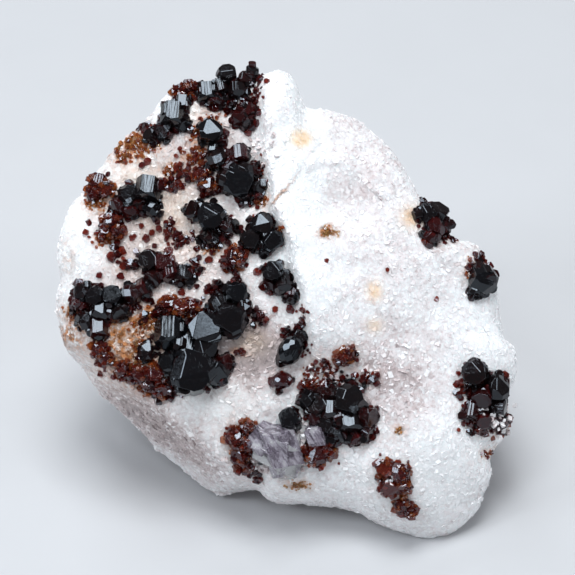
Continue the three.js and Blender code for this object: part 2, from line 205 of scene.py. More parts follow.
def grain_relief(points: Array, size: float, tilt: float, salt: int) -> Array:
    """Relief of packed grains with flat tops, in shares of the grain size.

    One grain centre is thrown into each cube of a lattice. A place belongs to its nearest centre:
    its height is that grain's own sloping plane, less a notch where the second nearest centre is
    almost as near.

    Args:
        points: n by 3 places in millimetres.
        size: lattice step in millimetres.
        tilt: steepness of the grains' tops.
        salt: picks the random set.

    Returns:
        The height at each place.
    """
    scaled = points / size
    home = np.floor(scaled)
    first = np.full(len(points), 9.0)
    second = first.copy()
    plane = np.zeros(len(points))
    for shift in np.stack(np.meshgrid(*[[-1, 0, 1]] * 3), -1).reshape(-1, 3):
        cell = home + shift
        centre = cell + np.stack([hashed(cell, salt + i) for i in range(3)], -1)
        slope = np.stack([hashed(cell, salt + 5 + i) - 0.5 for i in range(3)], -1)
        offset = scaled - centre
        gap = np.linalg.norm(offset, axis=1)
        nearer = gap < first
        second = np.where(nearer, first, np.minimum(second, gap))
        plane = np.where(nearer, np.einsum("ij,ij->i", offset, slope), plane)
        first = np.where(nearer, gap, first)
    return tilt * plane - 0.25 * (1.0 - smoothstep(second - first, 0.0, 0.25))


def turn_about(axis: int, degrees: Array) -> Array:
    """Matrices that turn about one axis of the frame.

    Args:
        axis: 0, 1 or 2.
        degrees: how far each turns.

    Returns:
        One 3 by 3 matrix for each angle.
    """
    c, s = np.cos(np.radians(degrees)), np.sin(np.radians(degrees))
    made = np.zeros((*np.shape(degrees), 3, 3))
    i, j = (axis + 1) % 3, (axis + 2) % 3
    made[..., axis, axis] = 1.0
    made[..., i, i] = made[..., j, j] = c
    made[..., j, i], made[..., i, j] = s, -s
    return made


def lean_turns(rows: Array) -> Array:
    """Turns of crystals from how far they lean, which way, and how they are spun on their axis.

    Args:
        rows: lean, toward and turn in degrees.

    Returns:
        One 3 by 3 matrix for each row.
    """
    lean, toward, turn = rows.T
    return turn_about(2, toward) @ turn_about(1, lean) @ turn_about(2, turn - toward)


def turns_onto(normals: Array, spin: Array) -> Array:
    """Turns that carry +Z onto each normal, after a spin about +Z.

    Args:
        normals: n by 3 unit vectors.
        spin: n angles in degrees.

    Returns:
        n matrices.
    """
    helper = np.where(np.abs(normals[:, 2:]) < 0.9, [[0.0, 0.0, 1.0]], [[1.0, 0.0, 0.0]])
    across = unit(np.cross(helper, normals))
    stood = np.stack([across, np.cross(normals, across), normals], -1)
    return stood @ turn_about(2, spin)


# ---- crystal forms


@dataclass(frozen=True)
class Form:
    """A crystal form with a half-width near 1: corners, and the corners round each face."""

    points: Array
    faces: tuple[tuple[int, ...], ...]

    @staticmethod
    def inside(normals: Array, outs: Array) -> "Form":
        """The solid inside a set of planes: every point where three planes meet that lies
        inside all the others is a corner, and each plane's corners go round it by angle.

        Args:
            normals: k by 3 unit normals.
            outs: k distances from the middle.

        Returns:
            The closed form, its faces outwards.
        """
        trios = np.array(list(combinations(range(len(outs)), 3)))
        sets = normals[trios]
        usable = np.abs(np.linalg.det(sets)) > 1e-5
        met = np.linalg.solve(sets[usable], outs[trios[usable]][..., None])[..., 0]
        kept = met[np.all(met @ normals.T < outs + 1e-6, axis=1)]
        points = kept[np.unique(np.round(kept, 4) + 0.0, axis=0, return_index=True)[1]]
        faces = []
        for normal, out in zip(normals, outs):
            on = np.flatnonzero(np.abs(points @ normal - out) < 2e-4)
            if len(on) < 3:
                continue
            across = points[on] - points[on].mean(0)
            right = np.cross(normal, [0.3, 0.5, 0.81])
            angle = np.arctan2(across @ np.cross(normal, right), across @ right)
            faces.append(tuple(int(i) for i in on[np.argsort(angle)]))
        return Form(points, tuple(faces))

    def planes(self) -> tuple[Array, Array]:
        """Planes of the faces, each normal along the sum of its corners' cross products.

        Returns:
            Unit normals, and distances from the middle.
        """
        rings = [self.points[list(face)] for face in self.faces]
        normals = unit(np.array([np.cross(r, np.roll(r, -1, axis=0)).sum(0) for r in rings]))
        return normals, np.array([n @ r[0] for n, r in zip(normals, rings)])

    def chamfered(self, width: float) -> "Form":
        """The form with a narrow flat along every edge: each is a plane halfway between the two
        faces that meet there, set in by width.

        Args:
            width: how far each edge is cut in.

        Returns:
            The chamfered form.
        """
        normals, outs = self.planes()
        owners: dict[tuple[int, int], list[int]] = {}
        for index, face in enumerate(self.faces):
            for a, b in zip(face, face[1:] + face[:1]):
                owners.setdefault((min(a, b), max(a, b)), []).append(index)
        pairs = [(edge, two) for edge, two in owners.items() if len(two) == 2]
        flats = unit(np.array([normals[i] + normals[j] for _, (i, j) in pairs]))
        reach = np.array([f @ self.points[edge[0]] for f, (edge, _) in zip(flats, pairs)])
        return Form.inside(np.vstack([normals, flats]), np.append(outs, reach - width))


def ring(count: int, phase: float, slope: float) -> Array:
    """Unit normals of like faces set evenly round the axis.

    Args:
        count: how many.
        phase: degrees round the axis of the first.
        slope: degrees from the axis.

    Returns:
        count by 3 normals.
    """
    around = np.radians(phase + np.arange(count) * 360.0 / count)
    s, c = sin(radians(slope)), cos(radians(slope))
    return np.stack([s * np.cos(around), s * np.sin(around), np.full(count, c)], -1)


def uneven_form(
    sets: Sequence[tuple[Array, float]], uneven: float, chance: np.random.Generator
) -> Form:
    """The solid inside sets of like faces, each face moved in or out a little at random.

    Args:
        sets: each set's unit normals, and their distance from the middle.
        uneven: largest share that a face is moved by.
        chance: source of the unevenness.

    Returns:
        The form.
    """
    normals = np.vstack([made for made, _ in sets])
    outs = np.concatenate([np.full(len(made), out) for made, out in sets])
    return Form.inside(normals, outs * (1.0 + uneven * chance.uniform(-1.0, 1.0, len(outs))))


@dataclass(frozen=True)
class UviteHabit:
    """Stubby tourmaline: six-sided prism under a flat end and two three-sided pyramids."""

    heights: tuple[float, float] = (0.7, 0.98)
    caps: tuple[float, float] = (0.45, 0.9)
    rhomb_slope: float = 27.3
    steep_slope: float = 46.0
    steep_gain: tuple[float, float] = (0.08, 0.34)
    chamfer: float = 0.006
    uneven: float = 0.1

    def form(self, chance: np.random.Generator) -> Form:
        """One crystal, each face set in or out a little, with worn edges.

        Args:
            chance: source of the unevenness.

        Returns:
            The form.
        """
        rhomb, steep = radians(self.rhomb_slope), radians(self.steep_slope)
        height, cap = chance.uniform(*self.heights), chance.uniform(*self.caps)
        low = cos(rhomb) * height + sin(rhomb) * cap
        high = cos(steep) * height + sin(steep) * (cap + chance.uniform(*self.steep_gain))
        sets = [
            (ring(6, 0, 90), 1.0), (ring(3, 30, 90), 1.06), (ring(1, 0, 0), height),
            (ring(3, 30, self.rhomb_slope), low), (ring(3, 90, self.steep_slope), high),
            (ring(1, 0, 180), 1.0),
        ]
        return uneven_form(sets, self.uneven, chance).chamfered(self.chamfer)


@dataclass(frozen=True)
class StubHabit:
    """Plain six-sided uvite of the small crystals: prism, flat end and one pyramid."""

    heights: tuple[float, float] = (0.75, 1.15)
    caps: tuple[float, float] = (0.25, 0.75)
    slope: float = 46.0
    uneven: float = 0.13

    def form(self, chance: np.random.Generator) -> Form:
        """One small crystal, each face set in or out a little.

        Args:
            chance: source of the unevenness.

        Returns:
            The form.
        """
        slope = radians(self.slope)
        height, cap = chance.uniform(*self.heights), chance.uniform(*self.caps)
        pyramid = cos(slope) * height + sin(slope) * cap
        sets = [
            (ring(6, 0, 90), 1.0), (ring(1, 0, 0), height), (ring(3, 30, self.slope), pyramid),
            (ring(1, 0, 180), 1.0),
        ]
        return uneven_form(sets, self.uneven, chance)


@dataclass(frozen=True)
class EggHabit:
    """A crystal rounded off into an egg of many small faces, longest along its axis."""

    long: float = 1.18
    broad: float = 0.88
    faces: int = 72

    def form(self) -> Form:
        """The egg: its faces look along the turns of a golden spiral, and each touches the
        ellipsoid whose reach that way is the root of the squared reaches along each axis.

        Returns:
            The form.
        """
        z = 1.0 - (2.0 * np.arange(self.faces) + 1.0) / self.faces
        around, flat = np.arange(self.faces) * pi * (3.0 - 5.0**0.5), np.sqrt(1.0 - z**2)
        normals = np.stack([flat * np.cos(around), flat * np.sin(around), z], -1)
        return Form.inside(normals, np.hypot(flat * self.broad, z * self.long))


def rhomb_form(slope: float = 44.0) -> Form:
    """Cleavage rhomb of magnesite with a half-width of 1: three faces up and three down."""
    normals = np.vstack([ring(3, 0, slope), ring(3, 60, 180.0 - slope)])
    return Form.inside(normals, np.ones(6))


# ---- gathering and making meshes


@dataclass
class Faces:
    """Polygons gathered for one piece: places, the places round each face, and values that
    the finish reads at each place or on each face."""

    points: Array
    corners: Array
    counts: Array
    values: dict[str, Array] = field(default_factory=dict)
    face_values: dict[str, Array] = field(default_factory=dict)

    @staticmethod
    def joined(batches: Sequence["Faces"]) -> "Faces":
        """All the batches as one, the corner numbers of each shifted past those before it.

        Args:
            batches: what is joined; all hold the same values.

        Returns:
            The one set of polygons.
        """
        shifts = np.cumsum([0] + [len(b.points) for b in batches[:-1]])
        first = batches[0]
        return Faces(
            np.vstack([b.points for b in batches]),
            np.concatenate([b.corners + shift for b, shift in zip(batches, shifts)]),
            np.concatenate([b.counts for b in batches]),
            {key: np.concatenate([b.values[key] for b in batches]) for key in first.values},
            {key: np.concatenate([b.face_values[key] for b in batches])
             for key in first.face_values},
        )

    @staticmethod
    def stamped(form: Form, middles: Array, sizes: Array, turns: Array, tints: Array) -> "Faces":
        """Copies of one form: each place is middle + turn times size times the form's corner.

        Args:
            form: what is copied.
            middles: n by 3 places.
            sizes: n half-widths.
            turns: n by 3 by 3 matrices.
            tints: n values handed to the finish.

        Returns:
            The copies, with tint, each corner's place in its own crystal, and flat: how far
            each face looks along the crystal's axis.
        """
        own = form.points[None] * sizes[:, None, None]
        points = middles[:, None] + np.einsum("nij,nkj->nki", turns, own)
        flat = np.concatenate([np.array(face) for face in form.faces])
        shifts = np.arange(len(middles)) * len(form.points)
        return Faces(
            points.reshape(-1, 3),
            (flat[None] + shifts[:, None]).ravel(),
            np.tile([len(face) for face in form.faces], len(middles)),
            {"tint": np.repeat(tints, len(form.points)), "own": own.reshape(-1, 3)},
            {"flat": np.tile(np.abs(form.planes()[0][:, 2]), len(middles))},
        )

    @staticmethod
    def picked(forms: Sequence[Form], pick: Array, *given: Array) -> list["Faces"]:
        """Copies of several forms, each copy's form picked by its number.

        Args:
            forms: what is copied.
            pick: n numbers of forms.
            given: n middles, sizes, turns and tints, as stamped takes them.

        Returns:
            The copies of each form that was picked.
        """
        return [Faces.stamped(form, *(each[pick == i] for each in given))
                for i, form in enumerate(forms) if np.any(pick == i)]

    def give(self, worth: Mapping[str, Array]) -> None:
        """Gives the corners of each stamped copy that copy's own values, by name."""
        for name, value in worth.items():
            self.values[name] = np.repeat(value, len(self.points) // len(value))


def into_scene(name: str, data: Any) -> bpy.types.Object:
    """A new object in the scene, with its data."""
    made = bpy.data.objects.new(name, data)
    bpy.context.scene.collection.objects.link(made)
    return made


def make_piece(
    name: str, faces: Faces, material: bpy.types.Material,
    stands_for: Sequence[str] = (), smooth: bool = False,
) -> None:
    """Makes the object of one piece, in place, and enters it in the frame.

    Args:
        name: the piece's name.
        faces: its polygons in face-frame millimetres.
        material: its finish.
        stands_for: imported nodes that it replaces.
        smooth: whether it is shaded as a rounded surface.
    """
    mesh = bpy.data.meshes.new(name)
    mesh.vertices.add(len(faces.points))
    mesh.vertices.foreach_set("co", FACE.to_row(faces.points).ravel())
    mesh.loops.add(len(faces.corners))
    mesh.loops.foreach_set("vertex_index", faces.corners)
    mesh.polygons.add(len(faces.counts))
    mesh.polygons.foreach_set("loop_start", np.cumsum(faces.counts) - faces.counts)
    mesh.polygons.foreach_set("use_smooth", np.full(len(faces.counts), smooth))
    for domain, values in (("POINT", faces.values), ("FACE", faces.face_values)):
        for key, value in values.items():
            kind, store = ("FLOAT", "value") if value.ndim == 1 else ("FLOAT_VECTOR", "vector")
            mesh.attributes.new(key, kind, domain).data.foreach_set(store, value.ravel())
    mesh.update(calc_edges=True)
    mesh.materials.append(material)
    piece = into_scene(name, mesh)
    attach(piece, BODY)
    if stands_for:
        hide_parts(*stands_for)
    log.info("%s: %d faces", name, len(faces.counts))


# ---- the rock's form


@dataclass(frozen=True)
class Outline:
    """The rock's outline square on to the crystal face, and the depth of its rim."""

    points: Rows = (
        (50.6, 0), (50, 5), (47.6, 9.4), (44.6, 13.6), (39.2, 15.2), (35.4, 19.5), (32.4, 24.4),
        (30, 27.9), (27.8, 32.4), (25.2, 36), (21.4, 39.8), (15.6, 43.9), (9.4, 46.1),
        (4.4, 46.7), (2.9, 50), (1.1, 54.2), (-1.8, 56.4), (-5.6, 55), (-10, 53.4), (-15, 52.6),
        (-23.3, 51.9), (-28.9, 49.2), (-33.1, 44.6), (-36.8, 40.5), (-41.3, 36.8),
        (-44.6, 32.4), (-48, 27.6), (-52.3, 23.2), (-54.6, 17.8), (-55.8, 11.8), (-55, 5.8),
        (-55.9, 0.5), (-55, -6.7), (-53.4, -11.6), (-49.1, -16.6), (-45.7, -22.1),
        (-39.2, -28.1), (-33.5, -34.7), (-24.6, -41.8), (-19.2, -46), (-16.4, -47),
        (-11.4, -46.2), (-8, -45.9), (-4.2, -48.2), (5.5, -49.2), (15.6, -50.5), (22.1, -53.8),
        (27.2, -55.8), (33, -57.2), (38.4, -56.6), (41.6, -54.4), (45.4, -50.2), (49, -42.4),
        (49.2, -36.6), (52.2, -32.2), (53.8, -29), (53, -23.6), (55.3, -16.6), (54.6, -11),
        (51.8, -8),
    )
    rim_depths: Rows = (
        (0, -1), (45, 1), (75, 2), (95, 5), (130, 3), (165, 1), (190, -2), (212, -11),
        (235, -15), (252, -12), (275, -7), (300, -6), (325, -4), (360, -1),
    )
    span_steps: int = 20

    def curve(self) -> Array:
        """Centripetal spline through the points: each span is a cubic whose end slopes come
        from its neighbours, timed by the square roots of their distances.

        Returns:
            Points round the outline.
        """
        p1 = np.array(self.points, float)
        p0, p2, p3 = np.roll(p1, 1, 0), np.roll(p1, -1, 0), np.roll(p1, -2, 0)
        a, b, c = (np.sqrt(np.linalg.norm(q - p, axis=1))[:, None]
                   for p, q in ((p0, p1), (p1, p2), (p2, p3)))
        m1 = ((p1 - p0) / a - (p2 - p0) / (a + b) + (p2 - p1) / b) * b
        m2 = ((p2 - p1) / b - (p3 - p1) / (b + c) + (p3 - p2) / c) * b
        t = (np.arange(self.span_steps) / self.span_steps)[None, :, None]
        p1, p2, m1, m2 = (x[:, None] for x in (p1, p2, m1, m2))
        bent = (3 * (p2 - p1) - 2 * m1 - m2) * t**2 + (2 * (p1 - p2) + m1 + m2) * t**3
        return (p1 + m1 * t + bent).reshape(-1, 2)

    def radius(self, degrees: Array) -> Array:
        """Distance from the axis to the outline, straight between the curve's points.

        Args:
            degrees: angles round the axis.

        Returns:
            The distance at each angle.
        """
        curve = self.curve()
        angles = np.degrees(np.arctan2(curve[:, 1], curve[:, 0])) % 360.0
        order = np.argsort(angles)
        return np.interp(degrees, angles[order], np.hypot(*curve[order].T), period=360.0)

    def rim(self, degrees: Array) -> Array:
        """How far out of the face the rim stands at each angle."""
        return between(self.rim_depths, degrees)


def cloud(points: Array, size: float, salt: int) -> Array:
    """Soft random swell from -1 to 1: a random value at every corner of a lattice of cubes,
    blended across each cube by smoothsteps of the share t along its three edges.

    Args:
        points: n by 3 places in millimetres.
        size: the cubes' edge in millimetres.
        salt: picks the random set.

    Returns:
        The swell at each place.
    """
    home = np.floor(points / size)
    t = smoothstep(points / size - home, 0.0, 1.0)
    total = np.zeros(len(points))
    for corner in np.stack(np.meshgrid(*[[0, 1]] * 3), -1).reshape(-1, 3):
        total += np.where(corner, t, 1.0 - t).prod(1) * hashed(home + corner, salt)
    return 2.0 * total - 1.0


def unevenness(u: Array, v: Array, w: Array) -> Array:
    """Broken-rock swell, the sum of four sizes of soft random swell.

    Args:
        u: across the face.
        v: up the face.
        w: out of the face.

    Returns:
        The swell in millimetres at each place.
    """
    points = np.stack([u + 0.31 * v, v - 0.27 * w, w + 0.23 * u], -1)
    sizes = ((14.0, 0.75), (7.3, 0.5), (3.9, 0.26), (2.1, 0.13))
    return sum(high * cloud(points, size, 50 + i) for i, (size, high) in enumerate(sizes))


@dataclass(frozen=True)
class Relief:
    """Height of the crystal face over (u, v)."""

    outline: Outline = Outline()
    ridge_step: float = 1.7
    ridge_border: Rows = (
        (-20, 7), (-9, 5), (0, 3.2), (12, 0.4), (24, -4), (36, -6.2), (57, -6.6),
    )
    ridge_height: float = 4.8
    ridge_spread: float = 13.0
    flank_crease: Rows = ((-46, -13.5), (-11.5, -41))
    flank_slope: float = 2.1
    swells: Rows = (
        (-2, 50, 5.5, 7, 2.5), (-33, 14, 17, 20, -2.4), (16, 38, 9, 6.5, -2),
        (14, 23.5, 8.5, 7, -2.2), (34, -37, 15, 15, 3.6), (41, 2, 10, 14, -1.6),
        (-3, -34, 9, 8, -2.2), (8, -20, 13, 8, -1.2),
    )

    def broad(self, u: Array, v: Array) -> Array:
        """The relief inside the rim: a low dome, its swells, the ridge and the flank's fall. The
        ridge is a bell curve of the way past its border, the flank falls in a straight slope.

        Args:
            u: across the face.
            v: up the face.

        Returns:
            The height at each place.
        """
        high = 12.0 - 0.0016 * (u * u + v * v) - 0.07 * np.maximum(0.0, u - 14.0)
        high = high + spots(u, v, self.swells)
        past = u - between(self.ridge_border, v)
        crest = np.exp(-((np.maximum(0.0, past) / self.ridge_spread) ** 2))
        crest *= smoothstep(v, -22.0, 2.0) * smoothstep(past, -self.ridge_step, self.ridge_step)
        (u0, v0), (u1, v1) = self.flank_crease
        down = ((u1 - u0) * (v0 - v) - (v1 - v0) * (u0 - u)) / np.hypot(u1 - u0, v1 - v0)
        high += self.ridge_height * crest - self.flank_slope * np.maximum(0.0, down)
        return high + 0.8 * unevenness(u, v, np.zeros_like(u))

    def face(self, u: Array, v: Array) -> Array:
        """Height of the face rolled off at the rim: the rim's height plus the rest times the
        square root of 1 - share^8, share being the way out to the rim.

        Args:
            u: across the face.
            v: up the face.

        Returns:
            The height at each place.
        """
        degrees = np.degrees(np.arctan2(v, u)) % 360.0
        share = np.minimum(1.0, np.hypot(u, v) / self.outline.radius(degrees))
        rim = self.outline.rim(degrees)
        return rim + (self.broad(u, v) - rim) * np.sqrt(1.0 - share**8)


# Where the face is fine and smooth, as u, v, half-width along u and v, strength.
SMOOTH_SPOTS: Rows = (
    (2.5, 24, 8, 26, 0.9), (-1, 50, 5, 8, 0.6), (-52, 12, 5, 14, 0.7), (12, 2, 10, 10, 0.5),
    (30, 24, 8, 8, 0.4), (16, 38, 9, 6, 0.5), (-38, -30, 12, 10, 0.8), (-26, -40, 12, 6, 0.8),
    (-50, -14, 6, 10, 0.7), (30, -44, 20, 12, 0.3),
)


@dataclass(frozen=True)
class Rock:
    """The magnesite: a ball of directions drawn out to the face, the rim and the broken back."""

    relief: Relief = Relief()
    middle: tuple[float, float, float] = (0.0, -2.0, -20.0)
    fractures: Rows = (
        (0.05, 0.8, -0.6, 33), (0.1, -0.1, -1, 33), (0.85, 0.15, -0.55, 41),
        (0.55, 0.6, -0.6, 38), (-0.75, 0.35, -0.6, 39), (-0.62, -0.45, -0.66, 37),
    )
    sharpness: float = 16.0
    back_depth: float = 78.0
    hollow_lip: Rows = ((0.4, 27.4), (2.2, 30.6), (4.6, 32.2), (9, 33.2), (13.4, 33), (19.4, 27.2))
    lip_rise: float = 0.7
    crack: Rows = ((-4, 22.6), (-1.4, 25), (2.6, 30), (4.4, 33.4), (7.4, 36.8))
    crack_depth: float = 0.45
    steps: int = 128

    def plain(self, ways: Array) -> Array:
        """The rock's broad form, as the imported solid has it.

        The front half of the ball is laid over the face, a way's distance from the axis being
        its share of the outline's radius. The back half falls behind the rim by (1 -
        share^2.2)^0.8 of the back's depth. Each place is then drawn in towards the rock's middle
        by (1 + the sum of (reach over fracture distance)^sharpness)^(-1 / sharpness).

        Args:
            ways: n by 3 unit directions.

        Returns:
            n by 3 places.
        """
        degrees = np.degrees(np.arctan2(ways[:, 1], ways[:, 0])) % 360.0
        share = np.minimum(1.0, np.hypot(ways[:, 0], ways[:, 1]))
        reach = self.relief.outline.radius(degrees) * share
        u, v = reach * np.cos(np.radians(degrees)), reach * np.sin(np.radians(degrees))
        fall = np.maximum(0.0, 1.0 - share**2.2) ** 0.8
        back = self.relief.outline.rim(degrees) - self.back_depth * fall
        front = self.relief.face(u, v) + self.fine_face(u, v)
        w = np.where(ways[:, 2] < 0.0, back, front)
        rays = np.stack([u, v, w], -1) - self.middle
        blend = np.ones(len(ways))
        for fu, fv, fw, out in self.fractures:
            normal = np.array([fu, fv, fw]) / np.linalg.norm([fu, fv, fw])
            blend += np.maximum(0.0, rays @ normal / out) ** self.sharpness
        inward = np.clip(-3.0 * ways[:, 2], 0.0, 1.0)
        kept = blend ** (-1.0 / self.sharpness)
        kept *= 1.0 + unevenness(u, v, w) * inward / np.linalg.norm(rays, axis=1)
        return rays * kept[:, None] + self.middle

    def fine_face(self, u: Array, v: Array) -> Array:
        """Ledge between the two hollows and the crack that runs into it: the ledge rises at its
        line and dies away uphill, the crack is a narrow bell curve.

        Args:
            u: across the face.
            v: up the face.

        Returns:
            Millimetres over the face at each place.
        """
        side = from_line(u, v, self.hollow_lip)
        ledge = smoothstep(side, -1.8, 0.8) * np.exp(-np.maximum(0.0, side) / 5.0)
        ledge *= np.exp(-((np.maximum(0.0, np.abs(side) - 3.0) / 4.0) ** 2))
        split = from_line(u, v, self.crack)
        return self.lip_rise * ledge - self.crack_depth * np.exp(-((split / 0.55) ** 2))

    def skin(self, ways: Array) -> Array:
        """The finished surface: the plain form moved along its ray from the middle by grains
        of three sizes, coarser and deeper on the broken back, and cut flat at the table.

        Args:
            ways: n by 3 unit directions.

        Returns:
            n by 3 places.
        """
        base = self.plain(ways)
        rays = base - self.middle
        length = np.linalg.norm(rays, axis=1)
        broken = smoothstep(-ways[:, 2], -0.35, 0.25)
        coarse = 1.0 - 0.6 * np.clip(spots(base[:, 0], base[:, 1], SMOOTH_SPOTS), 0.0, 1.0)
        moved = (0.3 * coarse + 1.3 * broken) * grain_relief(base, 9.0, 1.1, 11)
        moved += (0.16 * coarse + 0.4 * broken) * grain_relief(base, 3.4, 1.3, 23)
        moved += (0.05 * coarse + 0.1 * broken) * grain_relief(base, 1.7, 1.5, 37)
        places = rays * (1.0 + moved / length)[:, None] + self.middle
        over = FACE.above_table(places)
        core = FACE.above_table(np.array([self.middle]))[0]
        cut = np.where(over < 0.0, core / (core - over), 1.0)
        return (places - self.middle) * cut[:, None] + self.middle

    def seats(self, u: Array, v: Array) -> tuple[Array, Array]:
        """Places on the surface over (u, v) and the broad surface's normals there: the cross
        product of the ways from a place's west to its east and from its south to its north.

        Args:
            u: across the face.
            v: up the face.

        Returns:
            n by 3 places and n by 3 unit normals.
        """
        around, step = np.arctan2(v, u), 0.012
        reach = self.relief.outline.radius(np.degrees(around) % 360.0)
        share = np.minimum(0.995, np.hypot(u, v) / reach)
        ways = np.stack([share * np.cos(around), share * np.sin(around),
                         np.sqrt(1.0 - share**2)], -1)
        right = np.stack([-ways[:, 1], ways[:, 0], np.zeros(len(ways))], -1)
        right /= np.linalg.norm(right, axis=1, keepdims=True) + 1e-9
        up = np.cross(ways, right)
        east, west = (self.plain(unit(ways + k * step * right)) for k in (1.0, -1.0))
        north, south = (self.plain(unit(ways + k * step * up)) for k in (1.0, -1.0))
        return self.skin(ways), unit(np.cross(east - west, north - south))

    def ball(self) -> tuple[Array, Array]:
        """Directions and quads of a ball made of six square grids with their seams merged. Each
        grid spans -45 to 45 degrees both ways: way = axis + tan a times right + tan b times up.

        Returns:
            Unit directions, and four corners for each quad.
        """
        slopes = np.tan(np.linspace(-pi / 4, pi / 4, self.steps + 1))
        a, b = (g.ravel()[:, None] for g in np.meshgrid(slopes, slopes, indexing="ij"))
        quad = grid_quads(self.steps + 1)
        ways, quads = [], []
        for index, axis in enumerate(np.vstack([np.eye(3), -np.eye(3)])):
            right = np.roll(axis, 1)
            ways.append(axis + a * right + b * np.cross(axis, right))
            quads.append(quad + index * len(a))
        every = np.round(np.vstack(ways), 7) + 0.0
        merged, number = np.unique(every, axis=0, return_inverse=True)
        return unit(merged), number.ravel()[np.vstack(quads)]


# ---- shader graphs


class Graph:
    """One node tree, drawn node by node."""

    def __init__(self, tree: bpy.types.NodeTree) -> None:
        """Starts from an emptied tree."""
        self.tree = tree
        tree.nodes.clear()

    def node(self, kind: str, inputs: Mapping[Any, Any] | None = None, **settings: Any) -> Any:
        """Adds a node.

        Args:
            kind: the node's type name.
            inputs: a value or an output socket for each named or numbered input.
            settings: the node's own properties.

        Returns:
            The node.
        """
        made = self.tree.nodes.new(kind)
        for key, value in settings.items():
            setattr(made, key, value)
        self.wire(made, inputs or {})
        return made

    def wire(self, node: Any, inputs: Mapping[Any, Any]) -> None:
        """Sets the inputs of a node, or links them.

        Args:
            node: whose inputs they are.
            inputs: a value, a colour or an output socket for each named or numbered input.
        """
        for key, value in inputs.items():
            socket = node.inputs[key]
            if isinstance(value, bpy.types.NodeSocket):
                self.tree.links.new(value, socket)
            else:
                socket.default_value = (*value, 1.0) if socket.type == "RGBA" else value

    def math(self, operation: str, *values: Any) -> Any:
        """Output of a Math node."""
        return self.node("ShaderNodeMath", dict(enumerate(values)), operation=operation).outputs[0]

    def nudged(self, value: Any, by: Any, most: float) -> Any:
        """Value moved by how far another lies from a half, times most."""
        return self.math("MULTIPLY_ADD", self.math("SUBTRACT", by, 0.5), most, value)

    def vector(self, operation: str, *values: Any) -> Any:
        """Output of a Vector Math node.

        Args:
            operation: SCALE, with a vector and a number, or another with one or two vectors.
            values: what it works on.

        Returns:
            The number of a DOT_PRODUCT, and otherwise the vector.
        """
        keys = (0, 3) if operation == "SCALE" else (0, 1)
        made = self.node("ShaderNodeVectorMath", dict(zip(keys, values)), operation=operation)
        return made.outputs["Value" if operation == "DOT_PRODUCT" else "Vector"]

    def mixed(self, share: Any, first: Any, second: Any, blend: str = "MIX") -> Any:
        """Colour between two colours, or one times the other.

        Args:
            share: how much of the second is used.
            first: a colour or a colour socket.
            second: a colour or a colour socket.
            blend: MIX or MULTIPLY.

        Returns:
            The colour's socket.
        """
        return self.node("ShaderNodeMix", {0: share, 6: first, 7: second}, data_type="RGBA",
                         blend_type=blend).outputs[2]

    def bump(self, strength: float, deep: float, height: Any, **more: Any) -> Any:
        """Normal of a Bump node whose height is so many millimetres deep."""
        inputs = {"Strength": strength, "Distance": deep * MM, "Height": height, **more}
        return self.node("ShaderNodeBump", inputs).outputs[0]

    def spread(
        self, value: Any, low: float, high: float, to: tuple[float, float] = (0.0, 1.0)
    ) -> Any:
        """Value carried from low..high to a new range, clipped."""
        inputs = {0: value, 1: low, 2: high, 3: to[0], 4: to[1]}
        return self.node("ShaderNodeMapRange", inputs).outputs[0]

    def ramp(self, value: Any, stops: Sequence[tuple[float, Colour]]) -> Any:
        """Colour along a ramp.

        Args:
            value: where on the ramp, from 0 to 1.
            stops: a place and a colour each.

        Returns:
            The colour's socket.
        """
        made = self.node("ShaderNodeValToRGB", {0: value})
        line = made.color_ramp.elements
        while len(line) < len(stops):
            line.new(0.5)
        for element, (place, colour) in zip(line, stops):
            element.position, element.color = place, (*colour, 1.0)
        return made.outputs[0]

    def place(self) -> Any:
        """Object coordinates in millimetres."""
        coords = self.node("ShaderNodeTexCoord").outputs["Object"]
        return self.vector("SCALE", coords, 1.0 / MM)

    def read(self, name: str, output: str = "Fac") -> Any:
        """Value of the attribute of that name."""
        made = self.node("ShaderNodeAttribute", attribute_name=name, attribute_type="GEOMETRY")
        return made.outputs[output]

    def noise(self, at: Any, scale: float, detail: float = 2.0, rough: float = 0.5) -> Any:
        """Value of a noise texture in space."""
        inputs = {"Vector": at, "Scale": scale, "Detail": detail, "Roughness": rough}
        return self.node("ShaderNodeTexNoise", inputs).outputs[0]

    def use(self, group: bpy.types.NodeTree, inputs: Mapping[str, Any] | None = None) -> Any:
        """Outputs of a node group placed with its own values."""
        return self.node("ShaderNodeGroup", inputs, node_tree=group).outputs


def new_group(
    name: str, inputs: Mapping[str, tuple[str, Any]], outputs: Mapping[str, str]
) -> tuple[Graph, Any, Any]:
    """Starts a shader node group.

    Args:
        name: the group's name.
        inputs: socket type and first value of each named input.
        outputs: socket type of each named output.

    Returns:
        The group's graph, the sockets of its inputs, and its output node.
    """
    tree = bpy.data.node_groups.new(name, "ShaderNodeTree")
    for key, (kind, value) in inputs.items():
        socket = tree.interface.new_socket(key, in_out="INPUT", socket_type=kind)
        socket.default_value = value
    for key, kind in outputs.items():
        tree.interface.new_socket(key, in_out="OUTPUT", socket_type=kind)
    graph = Graph(tree)
    return graph, graph.node("NodeGroupInput").outputs, graph.node("NodeGroupOutput")


